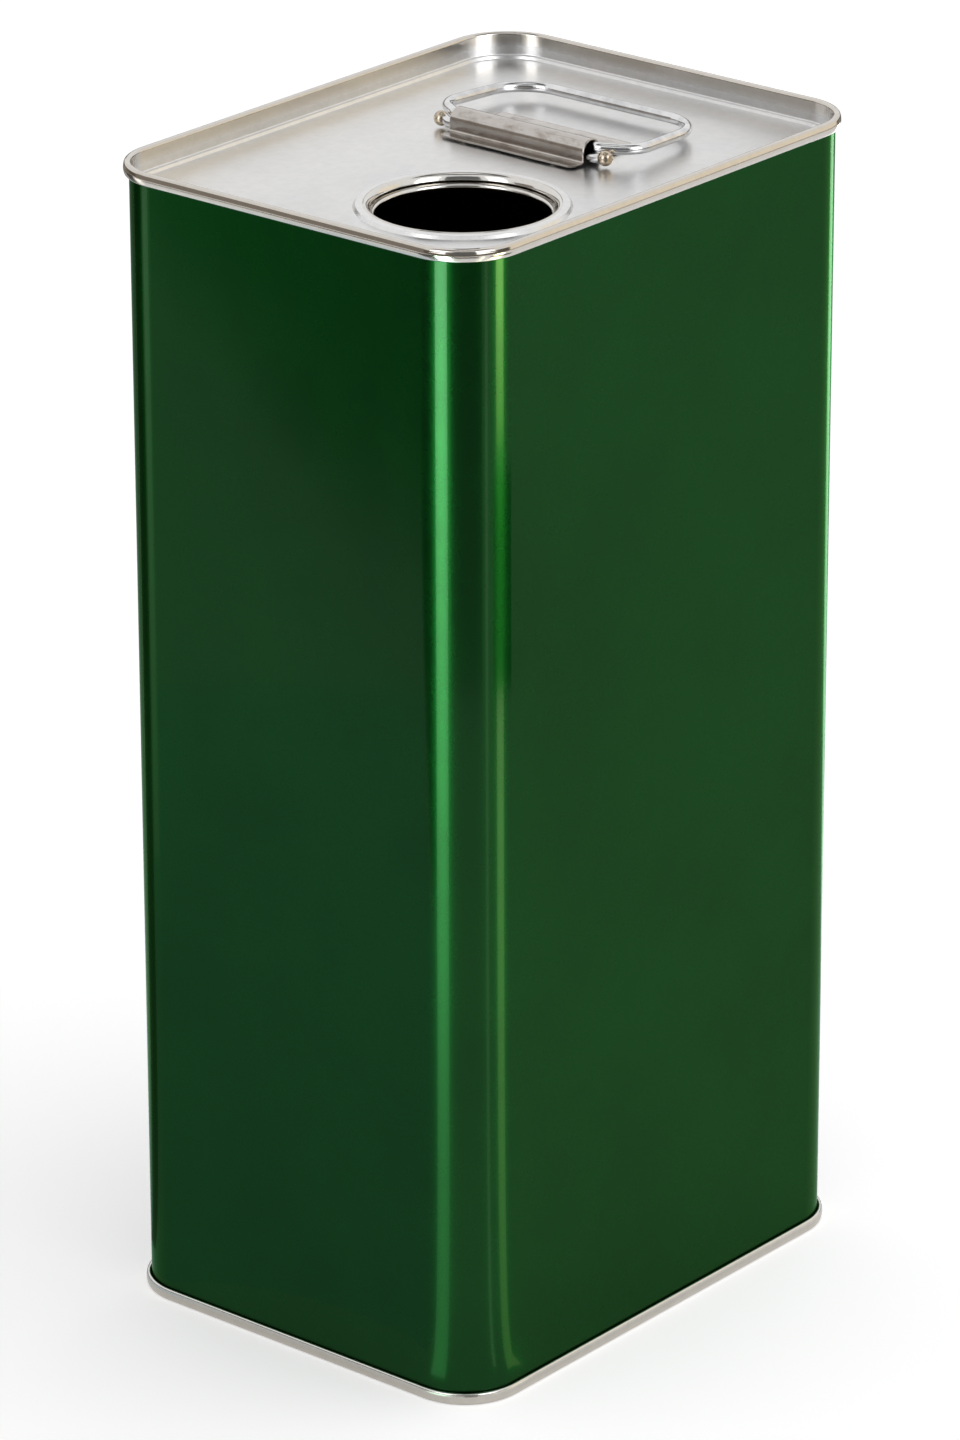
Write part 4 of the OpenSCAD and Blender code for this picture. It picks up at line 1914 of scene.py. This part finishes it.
@dataclass(frozen=True)
class Studio:
    """The pale floor, the white surround, the lamp and the cards."""

    floor_size: float = 16.0
    floor_tone: float = 0.80
    floor_glow: float = 0.25
    floor_white: float = 0.42
    surround: float = 0.62
    tooth: Pattern = Pattern(900, 3, rise=0.02 * MM, strength=0.1)
    cards: tuple[FloorCard, ...] = (
        FloorCard(
            "glow_left", 182, 22, 0.025, 1.0, (2.0, 20.0), (0.80, 1.15, 0.92), FRONT_CORNER, swell=1.7
        ),
        FloorCard("glow_right", 290, 15, 0.025, 0.49, (2.0, 5.6), (1.05, 1.0, 0.65), FRONT_CORNER),
        FloorCard("glow_right_far", 290, 16, 0.72, 1.1, (5.0, 26.0), (1.0, 1.1, 0.50), FRONT_CORNER),
        FloorCard("gap_right", 296, 40, 0.49, 0.69, (0.10, 0.10), apex=FRONT_CORNER),
        FloorCard("glow_thin", 263, 5, 0.03, 0.95, (2.0, 2.6), (1.0, 1.0, 0.85), FRONT_CORNER),
        FloorCard("glow_far_left", 124, 14, 0.30, 1.0, (1.0, 2.6), (1.0, 1.0, 0.95), LEFT_CORNER),
        FloorCard("dark_far_left", 100, 26, 0.03, 1.5, (0.20, 0.02), apex=LEFT_CORNER, height=0.0012),
        FloorCard("glow_behind", 356, 17, 0.05, 1.0, (1.5, 8.0), apex=BACK_CORNER),
        FloorCard("dark_front", 227, 56, 0.50, 1.05, (0.45, 0.0), apex=FRONT_CORNER, height=0.0010),
        FloorCard("fade_left", 210, 4.4, 10.00, 10.06, (0.95, 0.10), apex=FAR_POINT, height=0.0008),
        FloorCard("dark_left", 210, 4.4, 10.06, 11.2, (0.10, 0.06), apex=FAR_POINT, height=0.0008),
        FloorCard(
            "shade_left", 150, 100, 0.08, 0.50, (0.62, 0.80), (0.85, 1.0, 1.06), (-0.02, 0), 0.0006
        ),
        FloorCard("dark_behind", 40, 100, 0.20, 1.6, (0.95, 0.10), height=0.0006, swell=0.5),
        FloorCard("horizon_floor", 0, 360, 1.6, 3.0, (0.40, 0.12), (1.0, 0.88, 0.72), height=0.0004),
    )
    flags: tuple[StandingCard, ...] = (
        StandingCard("flag_front", 219.8, 2.3, 0.2, 2.5, 1.9, 0.16),
        StandingCard("flag_left", 138, 2.3, 0.0, 1.2, 1.3, 0.28, (1.0, 0.88, 0.78)),
        StandingCard("flag_right", 325, 2.3, 0.0, 1.8, 1.6, 1.10, (1.0, 0.91, 0.76)),
        StandingCard("box_left", 175, 2.1, 0.45, 2.4, 0.9, 3.0),
        StandingCard("box_right", 266, 2.1, 0.45, 2.4, 1.1, 3.2),
    )
    horizon: HorizonBand = HorizonBand("horizon", 3.0, 0.72, 0.12, (1.0, 0.86, 0.70))
    overheads: tuple[Overhead, ...] = (
        Overhead("flag_above", 2.7, 2.3, 0.12),
        Overhead("glow_above", 2.69, 1.15, 0.90),
    )
    lamp: Softbox = Softbox("lamp_above", 300, 68, 2.1, 1.7, 14.0)

    def lay_floor(self) -> None:
        """Make the floor: pale, white to the camera and to gloss, and still able to take a shadow."""
        bpy.ops.object.select_all(action="DESELECT")
        bpy.ops.mesh.primitive_plane_add(size=self.floor_size)
        floor = bpy.context.object
        floor.name = "floor"
        floor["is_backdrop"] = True
        graph = Graph.for_material("floor_paper")
        tooth = graph.noise(graph.place(), self.tooth)
        matt = graph.node("BsdfDiffuse", {
            "Color": (self.floor_tone,) * 3, "Normal": graph.emboss((tooth, self.tooth)),
        })
        by_camera = graph.node("LightPath").outputs["Is Camera Ray"]
        white = graph.between(by_camera, self.floor_glow, self.floor_white)
        glow = graph.node("Emission", {"Strength": graph.math("MULTIPLY", self.seen(graph), white)})
        both = graph.node("AddShader", {0: matt.outputs[0], 1: glow.outputs[0]})
        graph.node("OutputMaterial", {0: both.outputs[0]})
        dress(floor, (graph.material,))

    @staticmethod
    def seen(graph: Graph) -> Socket:
        """Tell the rays that see the white from those that only light.

        Args:
            graph: The graph that asks.

        Returns:
            1 for camera, glossy and transmitted rays, and 0 for others.
        """
        path = graph.node("LightPath").outputs
        some = graph.math("MAXIMUM", path["Is Camera Ray"], path["Is Glossy Ray"])
        return graph.math("MAXIMUM", some, path["Is Transmission Ray"])

    def light_surround(self) -> None:
        """Make the world: white where it is seen, and softer as a light."""
        world = bpy.data.worlds.new("surround")
        world.use_nodes = True
        bpy.context.scene.world = world
        graph = Graph(world.node_tree)
        strength = graph.between(self.seen(graph), self.surround, 1.0)
        light = graph.node("Background", {"Color": WHITE, "Strength": strength})
        graph.node("OutputWorld", {0: light.outputs[0]})

    def build(self, centre: Vector) -> None:
        """Set the stage.

        Args:
            centre: The middle of the object.
        """
        self.lay_floor()
        self.light_surround()
        for card in (*self.cards, *self.flags, self.horizon, *self.overheads):
            card.build()
        self.lamp.build(centre)
        bpy.context.scene.view_settings.view_transform = "Standard"


def dress_seams(frame: dict, rubber: Material) -> None:
    """Give the two carried-over seam compounds their finish.

    Args:
        frame: The loaded frame.
        rubber: The compound's finish.
    """
    for name in ("top_seam_compound", "bottom_seam_compound"):
        for slot in frame["nodes"][name].material_slots:
            slot.material = rubber
        report(frame["nodes"][name])


def hinge_place(frame: dict) -> Vector:
    """Read from the frame where the bail's hinge line is.

    Args:
        frame: The loaded frame.

    Returns:
        A point on the line, in metres.
    """
    joints = {joint["name"]: joint for joint in frame["record"]["behaviour"]["joints"]}
    return Vector(joints["bail_hinge"]["pos_m"])


def main() -> None:
    """Load the frame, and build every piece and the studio."""
    logging.basicConfig(level=logging.INFO, format="%(message)s")
    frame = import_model()
    outline = Outline.from_frame(RimmedEnd.reach)
    hinge = hinge_place(frame)

    lid = TopEnd(outline, End.TOP, depth=6.6 * MM)
    base = BottomEnd(outline, End.BOTTOM, depth=5.4 * MM)
    bracket = HandleBracket(lid.panel_height, hinge)
    bail = WireBail(hinge)
    inner = InnerLacquerAndShade().build()
    tinplate = Tinplate().build(outline, lid.neck, lid.lip_out, lid.ring_out)

    report(TinBody(outline).build(GreenLacquer().build(outline.half_x), inner))
    report(lid.build(tinplate, inner))
    report(base.build(tinplate, inner))
    report(bracket.build(RolledSteel().build(bracket.studs)))
    report(bail.build(BrightWire().build(bail.beads, bail.bead)))
    dress_seams(frame, SealingRubber().build())

    centre = Vector((0, 0, outline.height / 2))
    Studio().build(centre)
    Viewpoint().build(centre)


if __name__ == "__main__":
    main()
